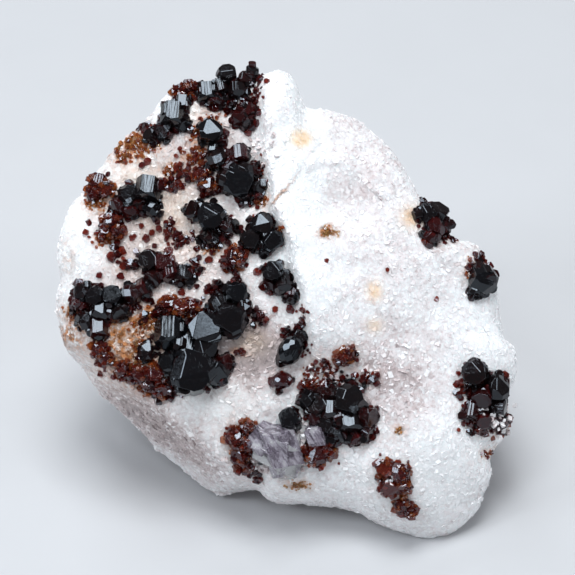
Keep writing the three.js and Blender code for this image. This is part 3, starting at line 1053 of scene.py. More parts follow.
def facet_group() -> bpy.types.NodeTree:
    """Packed grains, each with one flat face of its own: the normal leans by a random amount
    that is the same all over a cell, and the seams between cells are marked.

    Returns:
        The group, with Normal, Shade (random for each grain) and Seam (0 in the seams).
    """
    graph, given, made = new_group(
        "packed_grain_facets",
        {"Grain": ("NodeSocketFloat", 0.8), "Lean": ("NodeSocketFloat", 0.5)},
        {"Normal": "NodeSocketVector", "Shade": "NodeSocketFloat", "Seam": "NodeSocketFloat"},
    )
    at = graph.vector("SCALE", graph.place(), graph.math("DIVIDE", 1.0, given["Grain"]))
    cells = graph.node("ShaderNodeTexVoronoi", {"Vector": at, "Scale": 1.0})
    edges = graph.node("ShaderNodeTexVoronoi", {"Vector": at, "Scale": 1.0},
                       feature="DISTANCE_TO_EDGE")
    leaning = graph.vector("SUBTRACT", cells.outputs["Color"], (0.5, 0.5, 0.5))
    leaning = graph.vector("SCALE", leaning, given["Lean"])
    normal = graph.node("ShaderNodeNewGeometry").outputs["Normal"]
    normal = graph.vector("NORMALIZE", graph.vector("ADD", normal, leaning))
    shade = graph.node("ShaderNodeSeparateColor", {0: cells.outputs["Color"]}).outputs[1]
    seam = graph.spread(edges.outputs["Distance"], 0.0, 0.12)
    graph.wire(made, {"Normal": normal, "Shade": shade, "Seam": seam})
    return graph.tree


def stain_group() -> bpy.types.NodeTree:
    """Colour of the magnesite from the values lilac, rust and peach, broken up by noise.

    Returns:
        The group, with Colour.
    """
    plain = ("NodeSocketColor", (1.0, 1.0, 1.0, 1.0))
    graph, given, made = new_group(
        "magnesite_stains",
        {"White": plain, "Lilac": plain, "Rust": plain, "Peach": plain,
         "Shade": ("NodeSocketFloat", 0.5)},
        {"Colour": "NodeSocketColor"},
    )
    at = graph.place()
    fleck = graph.noise(at, 1.1, 3.0, 0.6)
    # The lilac attribute holds the rock's own lilac tint with painted shade and painted light mixed
    # in.
    clear = graph.nudged(graph.read("lilac"), graph.noise(at, 0.22, 4.0, 0.6), 0.9)
    clear = graph.nudged(clear, fleck, 0.7)
    clear = graph.nudged(clear, given["Shade"], 0.34)
    # Where the lilac value runs past 0.75 the colour is darkened by up to 40 percent more. This is
    # painted shade for the hollow near u -8, v -11 and the lower-left flank, which lie in shade.
    deep = graph.spread(clear, 0.75, 1.25, (1.0, 0.6))
    clear = graph.spread(clear, 0.1, 0.85)
    colour = graph.mixed(clear, given["White"], given["Lilac"])
    colour = graph.mixed(1.0, colour, deep, "MULTIPLY")
    peach = graph.math("MULTIPLY", graph.read("peach"),
                       graph.spread(fleck, 0.3, 0.6, (0.7, 1.0)))
    colour = graph.mixed(peach, colour, given["Peach"])
    rust = graph.math("MULTIPLY", graph.read("rust"),
                      graph.spread(graph.noise(at, 0.6, 4.0, 0.68), 0.4, 0.56, (0.1, 1.2)))
    rust = graph.math("MAXIMUM", rust, crack_line(graph, at))
    mottle = graph.spread(given["Shade"], 0.1, 0.9, (0.45, 1.25))
    rusty = graph.mixed(1.0, given["Rust"], mottle, "MULTIPLY")
    colour = graph.mixed(graph.math("MINIMUM", rust, 1.0), colour, rusty)
    graph.wire(made, {"Colour": colour})
    return graph.tree


def crack_line(graph: Graph, at: Any) -> Any:
    """Thin stained line along the crack. It runs straight between the crack's ends, pushed about
    by noise, and fades out from 0.08 to 0.42 mm to each side. It starts and ends softly, grows
    fainter along its way, and stays on the front of the rock.

    Args:
        graph: where the nodes go.
        at: the place in millimetres.

    Returns:
        The line's strength.
    """
    start, end = (np.array([*corner, 0.0]) for corner in (Rock.crack[0], Rock.crack[-1]))
    length = float(np.linalg.norm(end - start))
    along, straight_out = (end - start) / length, np.array([0.0, 0.0, 1.0])
    origin = FACE.to_row(start) / MM
    gone, off, out = (
        graph.math("SUBTRACT", graph.vector("DOT_PRODUCT", at, tuple(FACE.turn @ axis)),
                   float(origin @ FACE.turn @ axis))
        for axis in (along, np.cross(straight_out, along), straight_out)
    )
    off = graph.math("ABSOLUTE", graph.nudged(off, graph.noise(at, 0.28, 3.0), 3.2))
    line = graph.spread(off, 0.08, 0.42, (1.0, 0.0))
    for limit in (
        graph.spread(gone, 0.0, 1.5),  # its start
        graph.spread(gone, length - 3.0, length, (1.0, 0.0)),  # its end
        graph.spread(gone, 0.2 * length, 0.6 * length, (0.75, 0.1)),  # fainter on its way
        graph.spread(out, -16.0, -12.0),  # the front only
    ):
        line = graph.math("MULTIPLY", line, limit)
    return line


def growth_group() -> bpy.types.NodeTree:
    """Growth marks of a tourmaline in its own frame: fine ribs along the axis on the prism,
    where the value flat is 0, and low broad steps on the ends, where it is 1.

    Returns:
        The group, with Height and Tint (the crystal's tint with its zoning).
    """
    graph, given, made = new_group(
        "tourmaline_growth",
        {"Ribs": ("NodeSocketFloat", 1.0), "Steps": ("NodeSocketFloat", 0.4)},
        {"Height": "NodeSocketFloat", "Tint": "NodeSocketFloat"},
    )
    own = graph.read("own", "Vector")
    flat = graph.read("flat")
    ribbed = graph.noise(graph.vector("MULTIPLY", own, (2.6, 2.6, 0.12)), 1.0, 1.5, 0.55)
    ribs = graph.math("MULTIPLY", graph.spread(flat, 0.05, 0.5, (1.0, 0.0)), given["Ribs"])
    stepped = graph.noise(graph.vector("MULTIPLY", own, (0.5, 0.5, 0.9)), 1.0, 0.0)
    stepped = graph.math("SNAP", stepped, 0.13)
    steps = graph.math("MULTIPLY", graph.spread(flat, 0.4, 0.9), given["Steps"])
    height = graph.math("ADD", graph.math("MULTIPLY", ribbed, ribs),
                        graph.math("MULTIPLY", stepped, steps))
    tint = graph.nudged(graph.read("tint"), graph.noise(own, 0.9, 2.0), 0.22)
    graph.wire(made, {"Height": height, "Tint": tint})
    return graph.tree


def start_material(name: str) -> tuple[bpy.types.Material, Graph, Any, Any]:
    """A new material with its shader and output.

    Args:
        name: the material's name.

    Returns:
        The material, its graph, the Principled shader and the output node.
    """
    material = bpy.data.materials.new(name)
    material.use_nodes = True
    graph = Graph(material.node_tree)
    shader = graph.node("ShaderNodeBsdfPrincipled")
    output = graph.node("ShaderNodeOutputMaterial", {"Surface": shader.outputs[0]})
    return material, graph, shader, output


@dataclass(frozen=True)
class MagnesiteFinish:
    """White sugary magnesite with lilac-grey clear grains, peach zones and rust stains. Its
    softness is the share of light that goes through its skin, as deep as depth in mm."""

    facets: bpy.types.NodeTree
    stains: bpy.types.NodeTree
    name: str = "sugary_magnesite"
    white: Colour = (0.95, 0.945, 0.95)
    lilac: Colour = (0.595, 0.496, 0.49)
    rust: Colour = (0.46, 0.18, 0.055)
    peach: Colour = (0.9, 0.66, 0.43)
    grain: float = 0.8
    lean: float = 0.2
    index: float = 1.62
    soft: float = 0.6
    depth: float = 1.6

    def make(self) -> bpy.types.Material:
        """Builds the material.

        Returns:
            The finished material.
        """
        material, graph, shader, _ = start_material(self.name)
        grains = graph.use(self.facets, {"Grain": self.grain, "Lean": self.lean})
        stains = graph.use(self.stains, {
            "White": self.white, "Lilac": self.lilac, "Rust": self.rust, "Peach": self.peach,
            "Shade": grains["Shade"],
        })
        # The seams between grains are darkened a little: painted shade in the cracks between them.
        seam_shade = graph.spread(grains["Seam"], 0.0, 1.0, (0.93, 1.0))
        colour = graph.mixed(1.0, stains["Colour"], seam_shade, "MULTIPLY")
        rough = graph.spread(grains["Shade"], 0.0, 1.0, (0.22, 0.6))
        bump = graph.bump(0.2, 0.12, graph.noise(graph.place(), 3.2, 3.0, 0.7),
                          Normal=grains["Normal"])
        graph.wire(shader, {
            "Base Color": colour, "Roughness": rough, "Normal": bump,
            "IOR": self.index, "Subsurface Weight": self.soft,
            "Subsurface Radius": (1.0, 0.85, 0.85), "Subsurface Scale": self.depth * MM,
        })
        return material


@dataclass(frozen=True)
class UviteFinish:
    """Glassy tourmaline, from near black through deep red to orange-brown by its tint. Its
    mirror and glint are the strength and the colour of its reflections."""

    growth: bpy.types.NodeTree
    name: str
    ribs: float
    gloss: float
    clear: float = 0.0
    stops: tuple[tuple[float, Colour], ...] = (
        (0.0, (0.003, 0.003, 0.004)), (0.2, (0.006, 0.003, 0.003)), (0.35, (0.03, 0.003, 0.003)),
        (0.5, (0.15, 0.009, 0.007)), (0.65, (0.32, 0.036, 0.014)), (0.82, (0.66, 0.19, 0.045)),
        (1.0, (0.78, 0.45, 0.16)),
    )
    index: float = 1.64
    mirror: float = 0.36
    glint: Colour = (0.8, 0.9, 1.0)

    def make(self) -> bpy.types.Material:
        """Builds the material.

        Returns:
            The finished material.
        """
        material, graph, shader, _ = start_material(self.name)
        growth = graph.use(self.growth, {"Ribs": self.ribs})
        colour = graph.ramp(growth["Tint"], self.stops)
        bump = graph.bump(1.0, 0.09, growth["Height"])
        smear = graph.noise(graph.read("own", "Vector"), 1.7, 2.0)
        rough = graph.spread(smear, 0.35, 0.7, (self.gloss, self.gloss + 0.1))
        graph.wire(shader, {
            "Base Color": colour, "Roughness": rough, "Normal": bump, "IOR": self.index,
            "Specular IOR Level": self.mirror, "Specular Tint": self.glint,
            "Transmission Weight": self.clear,
        })
        return material


@dataclass(frozen=True)
class ClearFinish:
    """Clear lilac-grey magnesite: see-through, with a little colour in its depth and veils
    that run through it in one direction."""

    name: str = "clear_lilac_magnesite"
    index: float = 1.6
    depth_colour: Colour = (0.6, 0.53, 0.64)
    density: float = 6.0
    clear: float = 0.62
    veil_turn: float = 52.0
    veils: tuple[tuple[float, Colour], ...] = (
        (0.3, (0.1, 0.08, 0.105)), (0.44, (0.34, 0.29, 0.36)), (0.54, (0.72, 0.67, 0.75)),
        (0.64, (1.0, 1.0, 1.0)),
    )

    def make(self) -> bpy.types.Material:
        """Builds the material.

        Returns:
            The finished material.
        """
        material, graph, shader, output = start_material(self.name)
        at = graph.place()
        rough = graph.spread(graph.noise(at, 0.9, 3.0), 0.4, 0.7, (0.04, 0.3))
        bump = graph.bump(0.5, 0.1, graph.noise(at, 1.3, 3.0, 0.7))
        turned = graph.node("ShaderNodeVectorRotate", {
            "Vector": at, "Axis": tuple(FACE.turn[:, 2]), "Angle": radians(self.veil_turn),
        }).outputs[0]
        streak = graph.noise(graph.vector("MULTIPLY", turned, (0.14, 0.55, 0.55)), 1.0, 5.0, 0.68)
        streak = graph.nudged(streak, graph.read("tint"), 0.3)
        graph.wire(shader, {
            "Base Color": graph.ramp(streak, self.veils), "Roughness": rough,
            "Normal": bump, "IOR": self.index, "Transmission Weight": self.clear,
        })
        depth = graph.node("ShaderNodeVolumeAbsorption", {
            "Color": self.depth_colour, "Density": self.density})
        graph.wire(output, {"Volume": depth.outputs[0]})
        return material


# ---- colour values on the rock

# Spots as u, v, half-width along u, half-width along v, strength.
# Lilac spots are partly the rock's own lilac-grey tint and partly painted light. The strong spots
# on the lower-left flank (-39, -30) and in the hollow at (-8, -11) are painted shade. The spots
# below zero at (8, -44) and (36, -42) are painted light on faces that turn down from the lamps.
LILAC_AND_PAINTED_SHADE_SPOTS: Rows = (
    (-30, 12, 19, 23, 0.5), (-20, 38, 9, 8, 0.35), (17, 39, 12, 8, 0.16), (14, 25, 9, 7, 0.2),
    (-8, -11, 9, 8, 1.2), (-40, -9, 6, 6, 0.6), (36, 10, 10, 11, 0.1), (8, -44, 22, 7, -0.1),
    (36, -42, 13, 12, -0.25), (21, 31, 9, 8, 0.14), (22, 12, 8, 7, 0.16), (29, -8, 8, 6, 0.1),
    (34, -30, 9, 7, -0.12), (-39, -30, 15, 10, 1), (-24, -24, 8, 6, -0.35), (-17, -32, 5, 6, -0.3),
    (26, -22, 10, 10, 0.55), (2, 20, 7, 30, -0.55), (-50, 14, 6, 16, -0.4), (48, -14, 8, 18, -0.3),
    (18, -12, 12, 8, 0.2), (-22, -38, 10, 8, 0.5),
)
PEACH_SPOTS: Rows = (
    (3.1, 38.6, 2.1, 1.8, 1.9), (29.8, 20.2, 2.8, 2.6, 1), (20.4, 2.6, 1.8, 2.2, 0.9),
    (20.4, -5.5, 1.9, 1.7, 0.6), (-8.5, -9.5, 4, 3, 0.3), (-29, 22, 8, 6, 0.22),
    (-22, 45.5, 4, 3, 0.2), (-37, 30, 6, 4, 0.25), (-30, -8.5, 5, 4, 0.25), (-28, 16, 18, 20, 0.2),
    (-39, -10, 9, 9, 0.3), (-14, -24, 14, 9, 0.08), (-16, 42, 9, 8, 0.06),
)
RUST_SPOTS: Rows = (
    (-52.3, 10.5, 2.2, 5, 0.35), (-52, -8, 3.4, 3, 0.9), (-41.5, -9, 3.4, 3.4, 0.9),
    (-36.5, -4.2, 5, 3.4, 1), (-42, -7, 10, 8, 0.4), (-34, -14, 6, 4, 0.6),
    (-11.5, -11.8, 2, 1, 0.5), (14.2, -12, 2.2, 1.9, 0.4), (9.4, 16.8, 1.7, 1.1, 0.5),
    (-36.2, 37, 5, 3.4, 0.5), (29.6, 20.4, 1.9, 1.9, 0.4), (20.2, 2.2, 1.2, 2, 0.3),
    (-45, 23, 3, 3, 0.45), (-18, 12.8, 2.6, 1.3, 0.6), (-14, 33, 4, 3, 0.2),
)


def rock_values(points: Array, extra_rust: Rows) -> dict[str, Array]:
    """Lilac, rust and peach over the rock: the spots on the face, and plain noise behind.

    Args:
        points: n by 3 places.
        extra_rust: more rust spots, such as those round the crusts.

    Returns:
        A value for each name at each place.
    """
    u, v, w = points.T
    front = smoothstep(w, -16.0, -5.0)
    haze = unevenness(0.6 * u, 0.6 * v, 0.6 * w) * 0.25 + 0.3
    return {
        # The lilac value carries the rock's own tint and also the painted shade and painted light
        # of the lilac spots.
        "lilac": front * (0.27 + spots(u, v, LILAC_AND_PAINTED_SHADE_SPOTS)) + (1.0 - front) * haze,
        "rust": front * np.minimum(1.0, spots(u, v, (*RUST_SPOTS, *extra_rust)))
        + (1.0 - front) * smoothstep(unevenness(0.8 * v, 0.7 * u, w), 0.75, 1.3) * 0.35,
        "peach": front * np.clip(spots(u, v, PEACH_SPOTS), 0.0, 1.0),
    }


# ---- the sub-assemblies


@dataclass(frozen=True)
class Cover:
    """Rhombs strewn over the rock, one for each lattice cube of a step in mm, picked from a
    number of tries. Sizes are half-widths, lean is the most degrees from the surface, and rise
    the shares of the half-width that stand over it."""

    step: float
    tries: int
    sizes: tuple[float, float]
    lean: float
    rise: tuple[float, float]


@dataclass
class RockBody:
    """The magnesite rock and the grains that cover it. Clear grains stand where the ground's
    lilac passes clear_from, at the left and the right of clear_split."""

    rock: Rock
    finish: bpy.types.Material
    grain_finish: bpy.types.Material
    rust_halos: Rows
    crust: Cover = Cover(0.95, 150_000, (0.25, 0.55), 18.0, (-0.3, 0.2))
    clear: Cover = Cover(2.3, 40_000, (0.45, 0.9), 26.0, (-0.2, 0.12))
    blocks: Cover = Cover(4.6, 20_000, (0.7, 1.5), 20.0, (-0.16, 0.12))
    front_from: float = -8.0
    back_from: float = -17.0
    left_to: float = 2.0
    clear_split: float = 5.0
    clear_from: tuple[float, float] = (0.46, 0.58)
    slope: float = 44.0
    points: Array = field(init=False)
    quads: Array = field(init=False)

    def build(self) -> None:
        """Makes the rock, its crust of grains in three pieces, the clear grains of its front
        and the blocks of its back."""
        ways, self.quads = self.rock.ball()
        self.points = self.rock.skin(ways)
        values = {"tint": np.zeros(len(self.points)), **rock_values(self.points, self.rust_halos)}
        solid = Faces(self.points, self.quads.ravel(), np.full(len(self.quads), 4), values)
        make_piece("magnesite_rock", solid, self.finish, ["magnesite_matrix"],
                   smooth=True)
        chance = np.random.default_rng(7)
        places, normals = self.scattered(self.crust, chance)
        front, left = places[:, 2] > self.front_from, places[:, 0] < self.left_to
        for name, chosen in (
            ("sugar_grains_left", front & left), ("sugar_grains_right", front & ~left),
            ("sugar_grains_back", ~front),
        ):
            self.grains(name, self.crust, places[chosen], normals[chosen], chance)
        places, normals = self.scattered(self.clear, chance)
        left_least, right_least = self.clear_from
        least = np.where(places[:, 0] > self.clear_split, right_least, left_least)
        chosen = (places[:, 2] > self.front_from) & (rock_values(places, ())["lilac"] > least)
        self.grains("clear_grains", self.clear, places[chosen], normals[chosen], chance)
        places, normals = self.scattered(self.blocks, chance)
        chosen = places[:, 2] < self.back_from
        self.grains("cleavage_blocks", self.blocks, places[chosen], normals[chosen], chance)

    def scattered(self, cover: Cover, chance: np.random.Generator) -> tuple[Array, Array]:
        """Places strewn evenly over the rock, one for each lattice cube that the surface cuts.

        Quads are drawn by their area, and a place is a random mix of the quad's four corners.

        Args:
            cover: what is strewn.
            chance: source of the draws.

        Returns:
            Places and surface normals.
        """
        step, tries = cover.step, cover.tries
        corner = self.points[self.quads]
        across = np.cross(corner[:, 2] - corner[:, 0], corner[:, 3] - corner[:, 1])
        area = np.linalg.norm(across, axis=1)
        drawn = np.searchsorted(np.cumsum(area) / area.sum(), chance.random(tries))
        a, b = chance.random((2, tries, 1))
        c = corner[np.minimum(drawn, len(area) - 1)]
        place = (1 - b) * ((1 - a) * c[:, 0] + a * c[:, 1]) + b * ((1 - a) * c[:, 3] + a * c[:, 2])
        normal = across[np.minimum(drawn, len(area) - 1)]
        clear = (FACE.above_table(place) > 0.9 * step) & (np.linalg.norm(normal, axis=1) > 0.0)
        place, normal = place[clear], unit(normal[clear])
        first = np.unique(np.floor(place / step).astype(int), axis=0, return_index=True)[1]
        return place[first], normal[first]

    def grains(
        self, name: str, cover: Cover, places: Array, normals: Array,
        chance: np.random.Generator,
    ) -> None:
        """Cleavage rhombs sunk in the surface, as one piece. One face of each lies nearly along
        the surface and stands over it by a share of the rhomb's size. Rhombs on lilac ground
        lean more and differ more in colour, and those on smooth ground stand out less.

        Args:
            name: the piece's name.
            cover: their sizes, leans and rises.
            places: n by 3 places on the surface.
            normals: n by 3 surface normals.
            chance: source of sizes, depths and angles.
        """
        count = len(places)
        size = chance.uniform(*cover.sizes, count)
        smooth = np.clip(spots(places[:, 0], places[:, 1], SMOOTH_SPOTS), 0.0, 1.0)
        sunk = size * (1.0 - chance.uniform(*cover.rise, count) * (1.0 - 0.6 * smooth))
        # The rhombs take the rock's lilac value, its painted shade and painted light included.
        worth = rock_values(places, self.rust_halos)
        glassy = smoothstep(worth["lilac"], 0.35, 0.75)
        tipped = chance.uniform(0.0, 1.0, (count, 3)) * (cover.lean, 360.0, 360.0)
        tipped[:, 0] *= 1.0 + 0.8 * glassy
        turns = turns_onto(normals, np.zeros(count)) @ lean_turns(tipped)
        turns = turns @ turn_about(1, np.full(count, -self.slope))
        middles = places - normals * sunk[:, None]
        rhombs = Faces.stamped(rhomb_form(self.slope), middles, size, turns, np.zeros(count))
        worth["lilac"] += chance.normal(-0.04, 0.26, count) * (0.4 + 0.6 * glassy)
        rhombs.give(worth)
        make_piece(name, rhombs, self.grain_finish)


# Each cluster's crystals as u, v, width, lean, toward, turn: the near-black clusters first.
DARK_CLUSTERS: dict[str, Rows] = {
    "summit_uvite": (
        (-14.4, 54, 4.3, 40, 90, 10), (-10.1, 53.3, 3.4, 30, 60, 20), (-8.6, 55, 3, 55, 80, 0),
        (-19.2, 49.7, 4.4, 62, 274, 34), (-17.3, 48, 3.2, 20, 250, 0), (-12, 49.9, 4, 25, 30, 50),
        (-15.8, 51.2, 3.4, 20, 200, 15),
    ),
    "upper_left_uvite": (
        (-27.4, 44.2, 5.6, 61, 266, 26), (-25.2, 47.4, 3, 30, 70, 0),
        (-29.8, 40.6, 3.8, 20, 220, 5), (-32.6, 39.4, 3, 45, 140, 0), (-24.8, 42, 3, 25, 320, 40),
    ),
    "lone_upper_uvite": ((-18.5, 40.3, 5.6, 22, 70, 12), (-16.6, 38.4, 2.6, 40, 300, 0)),
    "ridge_top_uvite": (
        (-9.4, 45.8, 3.4, 15, 160, 10), (-11.7, 43.8, 3.6, 20, 240, 30),
        (-9.9, 42.8, 2.6, 30, 300, 0),
    ),
    "cliff_uvite": (
        (-12, 28.6, 7, 18, 330, 5), (-16.6, 34.2, 4.8, 25, 120, 20), (-11.5, 34.8, 3.8, 20, 60, 0),
        (-13.9, 32.2, 4, 12, 100, 45), (-8.2, 31.2, 3.4, 30, 20, 10), (-7.2, 27, 3.4, 25, 350, 30),
        (-10, 24.7, 3, 40, 300, 0),
    ),
    "left_uvite": (
        (-33.4, 26.6, 5.6, 60, 262, 22), (-37.7, 25.4, 4.4, 25, 150, 20),
        (-40.3, 23, 3.8, 30, 200, 0), (-37.4, 22, 3.6, 25, 260, 35),
        (-32.4, 22.2, 3.4, 20, 310, 10), (-35.4, 23.9, 3.4, 10, 90, 50),
    ),
    "middle_uvite": (
        (-18.2, 20.2, 6.4, 14, 100, 28), (-21.7, 21.5, 4.4, 30, 160, 0),
        (-18.2, 15.2, 3.4, 35, 260, 15), (-14.3, 17.6, 3.4, 30, 320, 40),
    ),
    "foot_of_cliff_uvite": (
        (-6, 18.2, 5, 20, 80, 15), (-8.4, 15, 4.4, 25, 220, 0), (-4, 15.1, 4.6, 20, 330, 32),
        (-6.2, 13, 3, 40, 270, 10),
    ),
    "lower_cliff_uvite": (
        (-3.4, 6.8, 4.4, 20, 130, 10), (-1.2, 4.2, 4.2, 15, 30, 35), (0.8, 2.2, 3.2, 30, 320, 0),
        (-4.2, 4.2, 2.6, 35, 230, 20),
    ),
    "left_band_uvite": (
        (-33.1, 9.6, 4.4, 20, 120, 8), (-30, 9, 4, 10, 60, 30), (-28, 7, 4, 20, 300, 0),
        (-32, 5.8, 4, 25, 240, 15), (-24.6, 6, 4, 12, 20, 42), (-37, 2, 4.4, 18, 80, 12),
        (-34.6, 3.4, 3.6, 20, 270, 0), (-41.6, 1.2, 4.6, 15, 110, 25),
        (-45.4, 1.2, 4.4, 20, 150, 5), (-48.8, 2.4, 3.6, 35, 170, 30), (-40, -2.2, 3.8, 30, 290, 0),
        (-44.5, -2.4, 4.4, 10, 200, 40), (-48, -4.3, 4.4, 25, 190, 10),
        (-45, -6.4, 4.2, 30, 260, 28), (-49.8, -0.6, 3.4, 45, 180, 0),
    ),
    "main_uvite": (
        (-22.4, -16.4, 9.8, 11, 80, 16), (-19.7, -6, 7.2, 6, 60, 18), (-27.8, -7.8, 7, 57, 270, 32),
        (-23.8, -11.6, 6, 59, 264, 24), (-17.2, -16.2, 6, 42, 320, 10),
        (-15, -14.2, 3.6, 45, 10, 0), (-28, -14, 4.6, 35, 190, 10), (-20, -10.4, 6, 20, 30, 44),
        (-13.7, -4, 7.6, 16, 300, 26), (-16.3, -0.6, 4.4, 20, 130, 0),
        (-12.2, 2.2, 4.8, 14, 40, 12), (-10.4, -1, 4, 30, 10, 36),
    ),
    "left_stud_uvite": ((-33.6, -11.4, 3.6, 15, 150, 12),),
    "egg_uvite": (
        (0.5, -11.4, 6.4, 68, 62, 16), (2.9, -8.2, 3.2, 20, 50, 0), (-1.4, -13.6, 2.8, 40, 240, 30),
    ),
    "lower_middle_uvite": (
        (14.2, -23.2, 6.6, 20, 50, 9), (7, -24.5, 5, 15, 120, 0), (4.6, -23, 4.4, 30, 150, 35),
        (10.2, -26.4, 5, 20, 250, 12), (18.4, -27.2, 5, 30, 350, 28),
        (14.8, -28.4, 5.4, 15, 280, 5), (11.6, -31, 4.2, 35, 250, 20), (16, -32, 3.4, 45, 300, 0),
        (9, -22, 4, 25, 90, 40), (12.4, -27, 4, 15, 100, 20), (16.8, -26, 3.8, 10, 20, 5),
        (9.6, -29, 3.6, 20, 200, 50), (6.4, -27, 3.4, 30, 210, 0), (18.6, -30.4, 3.4, 40, 330, 14),
    ),
    "vug_upper_uvite": ((0.4, -28, 4.8, 25, 110, 18),),
    "right_shoulder_uvite": (
        (32.8, 21.2, 4.4, 25, 130, 0), (35.6, 21.4, 5, 50, 60, 22), (34.8, 18, 4.6, 35, 20, 10),
        (33.9, 15.4, 3.2, 30, 300, 0), (37.2, 18.4, 3.6, 65, 30, 35),
    ),
    "right_edge_uvite": (
        (46.6, 5, 6.4, 34, 290, 40), (45.6, 7.8, 3.6, 45, 40, 0), (44.6, 2.8, 3, 30, 300, 20),
    ),
    "lower_right_uvite": (
        (44.4, -17.2, 5.8, 20, 120, 10), (49.4, -20.4, 6.2, 45, 10, 24),
        (46, -22.8, 4.6, 25, 260, 0), (43.4, -26.2, 3.6, 25, 220, 35),
        (46.4, -28.2, 3.8, 30, 300, 12), (50.4, -25, 4.2, 50, 350, 0),
        (51, -29.2, 3.2, 60, 340, 18),
    ),
}

# Forms of the first crystals of some clusters: 0 (pointed) to 17 (flat-ended), 18 an egg.
SHOWN_FORMS: dict[str, Sequence[int]] = {
    "main_uvite": (7, 15, 8, 10, 3, 5, 9, 7, 4, 6, 9, 2), "summit_uvite": (5, 9, 3, 12),
    "foot_of_cliff_uvite": (5, 9), "lower_right_uvite": (5, 3), "left_uvite": (12, 6),
    "upper_left_uvite": (12,), "lone_upper_uvite": (8,), "cliff_uvite": (9,),
    "middle_uvite": (7,), "lower_middle_uvite": (6,), "right_edge_uvite": (2,),
    "egg_uvite": (18,), "lone_red_uvite": (18,),
}

# Clusters without parallel growths or small crystals round them.
BARE_CLUSTERS = ("lone_red_uvite", "egg_uvite")

# Clusters whose crystals aren't near black, as smallest and largest tint.
CLUSTER_TINTS: dict[str, tuple[float, float]] = {
    "right_shoulder_uvite": (0.02, 0.36), "ridge_top_uvite": (0.1, 0.3),
    "left_band_uvite": (0.0, 0.32), "lower_middle_uvite": (0.08, 0.3),
    "lower_right_uvite": (0.16, 0.39), "lone_red_uvite": (0.42, 0.46),
}

# Clusters of small crystals, thin enough for their red to show.
RED_CLUSTERS: dict[str, Rows] = {
    "upper_edge_red_uvite": ((-23.6, 51.3, 2.8, 50, 100, 0), (-25.8, 50.6, 2.4, 60, 120, 20)),
    "upper_basin_red_uvite": ((-20.8, 30, 3.4, 10, 200, 15), (-19.2, 27.6, 3, 15, 60, 0)),
    "rim_upper_red_uvite": (
        (-45.4, 28.3, 3.6, 25, 120, 12), (-43.5, 26.9, 3.4, 15, 40, 0),
        (-46.1, 25.8, 3, 40, 200, 30),
    ),
    "rim_middle_red_uvite": (
        (-42.2, 18.7, 4, 15, 100, 22), (-40.8, 16.9, 2.8, 30, 330, 0),
        (-43.5, 16.8, 2.8, 35, 220, 10),
    ),
    "middle_red_uvite": ((-12.3, 10.7, 4.2, 15, 60, 20), (-14.2, 9.3, 2.8, 30, 210, 0)),
    "band_red_uvite": (
        (-25.4, -1.3, 3.6, 20, 100, 14), (-28.2, -0.6, 3, 30, 150, 0), (-22.4, -1.2, 3, 25, 30, 33),
    ),
    "lower_left_red_uvite": (
        (-39, -16, 3.2, 30, 170, 0), (-35.3, -17.4, 3.6, 20, 240, 18),
        (-31.6, -17.2, 3.6, 15, 60, 30), (-30.2, -20.6, 3.2, 40, 280, 0),
        (-33.2, -19.8, 3, 45, 250, 12),
    ),
    "rim_lower_red_uvite": ((-45, -11.4, 3, 30, 200, 10), (-43.5, -13.3, 2.8, 40, 230, 0)),
    "lone_red_uvite": ((-1.4, -18.5, 4.4, 78, 8, 24), (-3.3, -18.8, 2.4, 35, 190, 0)),
    "ridge_foot_red_uvite": ((14.2, -12, 2.8, 20, 60, 10), (12.6, -13.2, 2.4, 30, 200, 0)),
    "vug_left_red_uvite": (
        (-12.5, -32.2, 3.6, 20, 150, 8), (-9.8, -33.4, 4, 15, 240, 0),
        (-11.4, -36.6, 3.6, 30, 200, 30), (-9.6, -29.9, 3, 30, 90, 15),
        (-10.7, -38.8, 3.4, 45, 250, 0),
    ),
    "vug_right_red_uvite": (
        (6.8, -36, 4.8, 20, 300, 12), (9, -35.2, 3.2, 30, 20, 0), (4.4, -35.6, 2.8, 35, 200, 30),
    ),
    "boss_red_uvite": (
        (23.3, -39.8, 4, 15, 130, 0), (26.2, -40.4, 4.2, 20, 40, 18),
        (24.2, -43.4, 3.8, 20, 260, 33), (27, -43.2, 3.4, 25, 320, 0),
    ),
    "boss_lower_red_uvite": ((27.1, -48.4, 3.2, 30, 250, 10), (28.8, -49.6, 2.8, 40, 300, 0)),
}


def seated(rock: Rock, rows: Array) -> Array:
    """Middles of crystals that stand a share of their width over the rock's face.

    Args:
        rock: what they stand on.
        rows: crystals as u, v, width in the first three columns.

    Returns:
        n by 3 places.
    """
    seat_rise = 0.24
    u, v, width = rows[:, :3].T
    return np.stack([u, v, rock.seats(u, v)[0][:, 2] + seat_rise * width], -1)


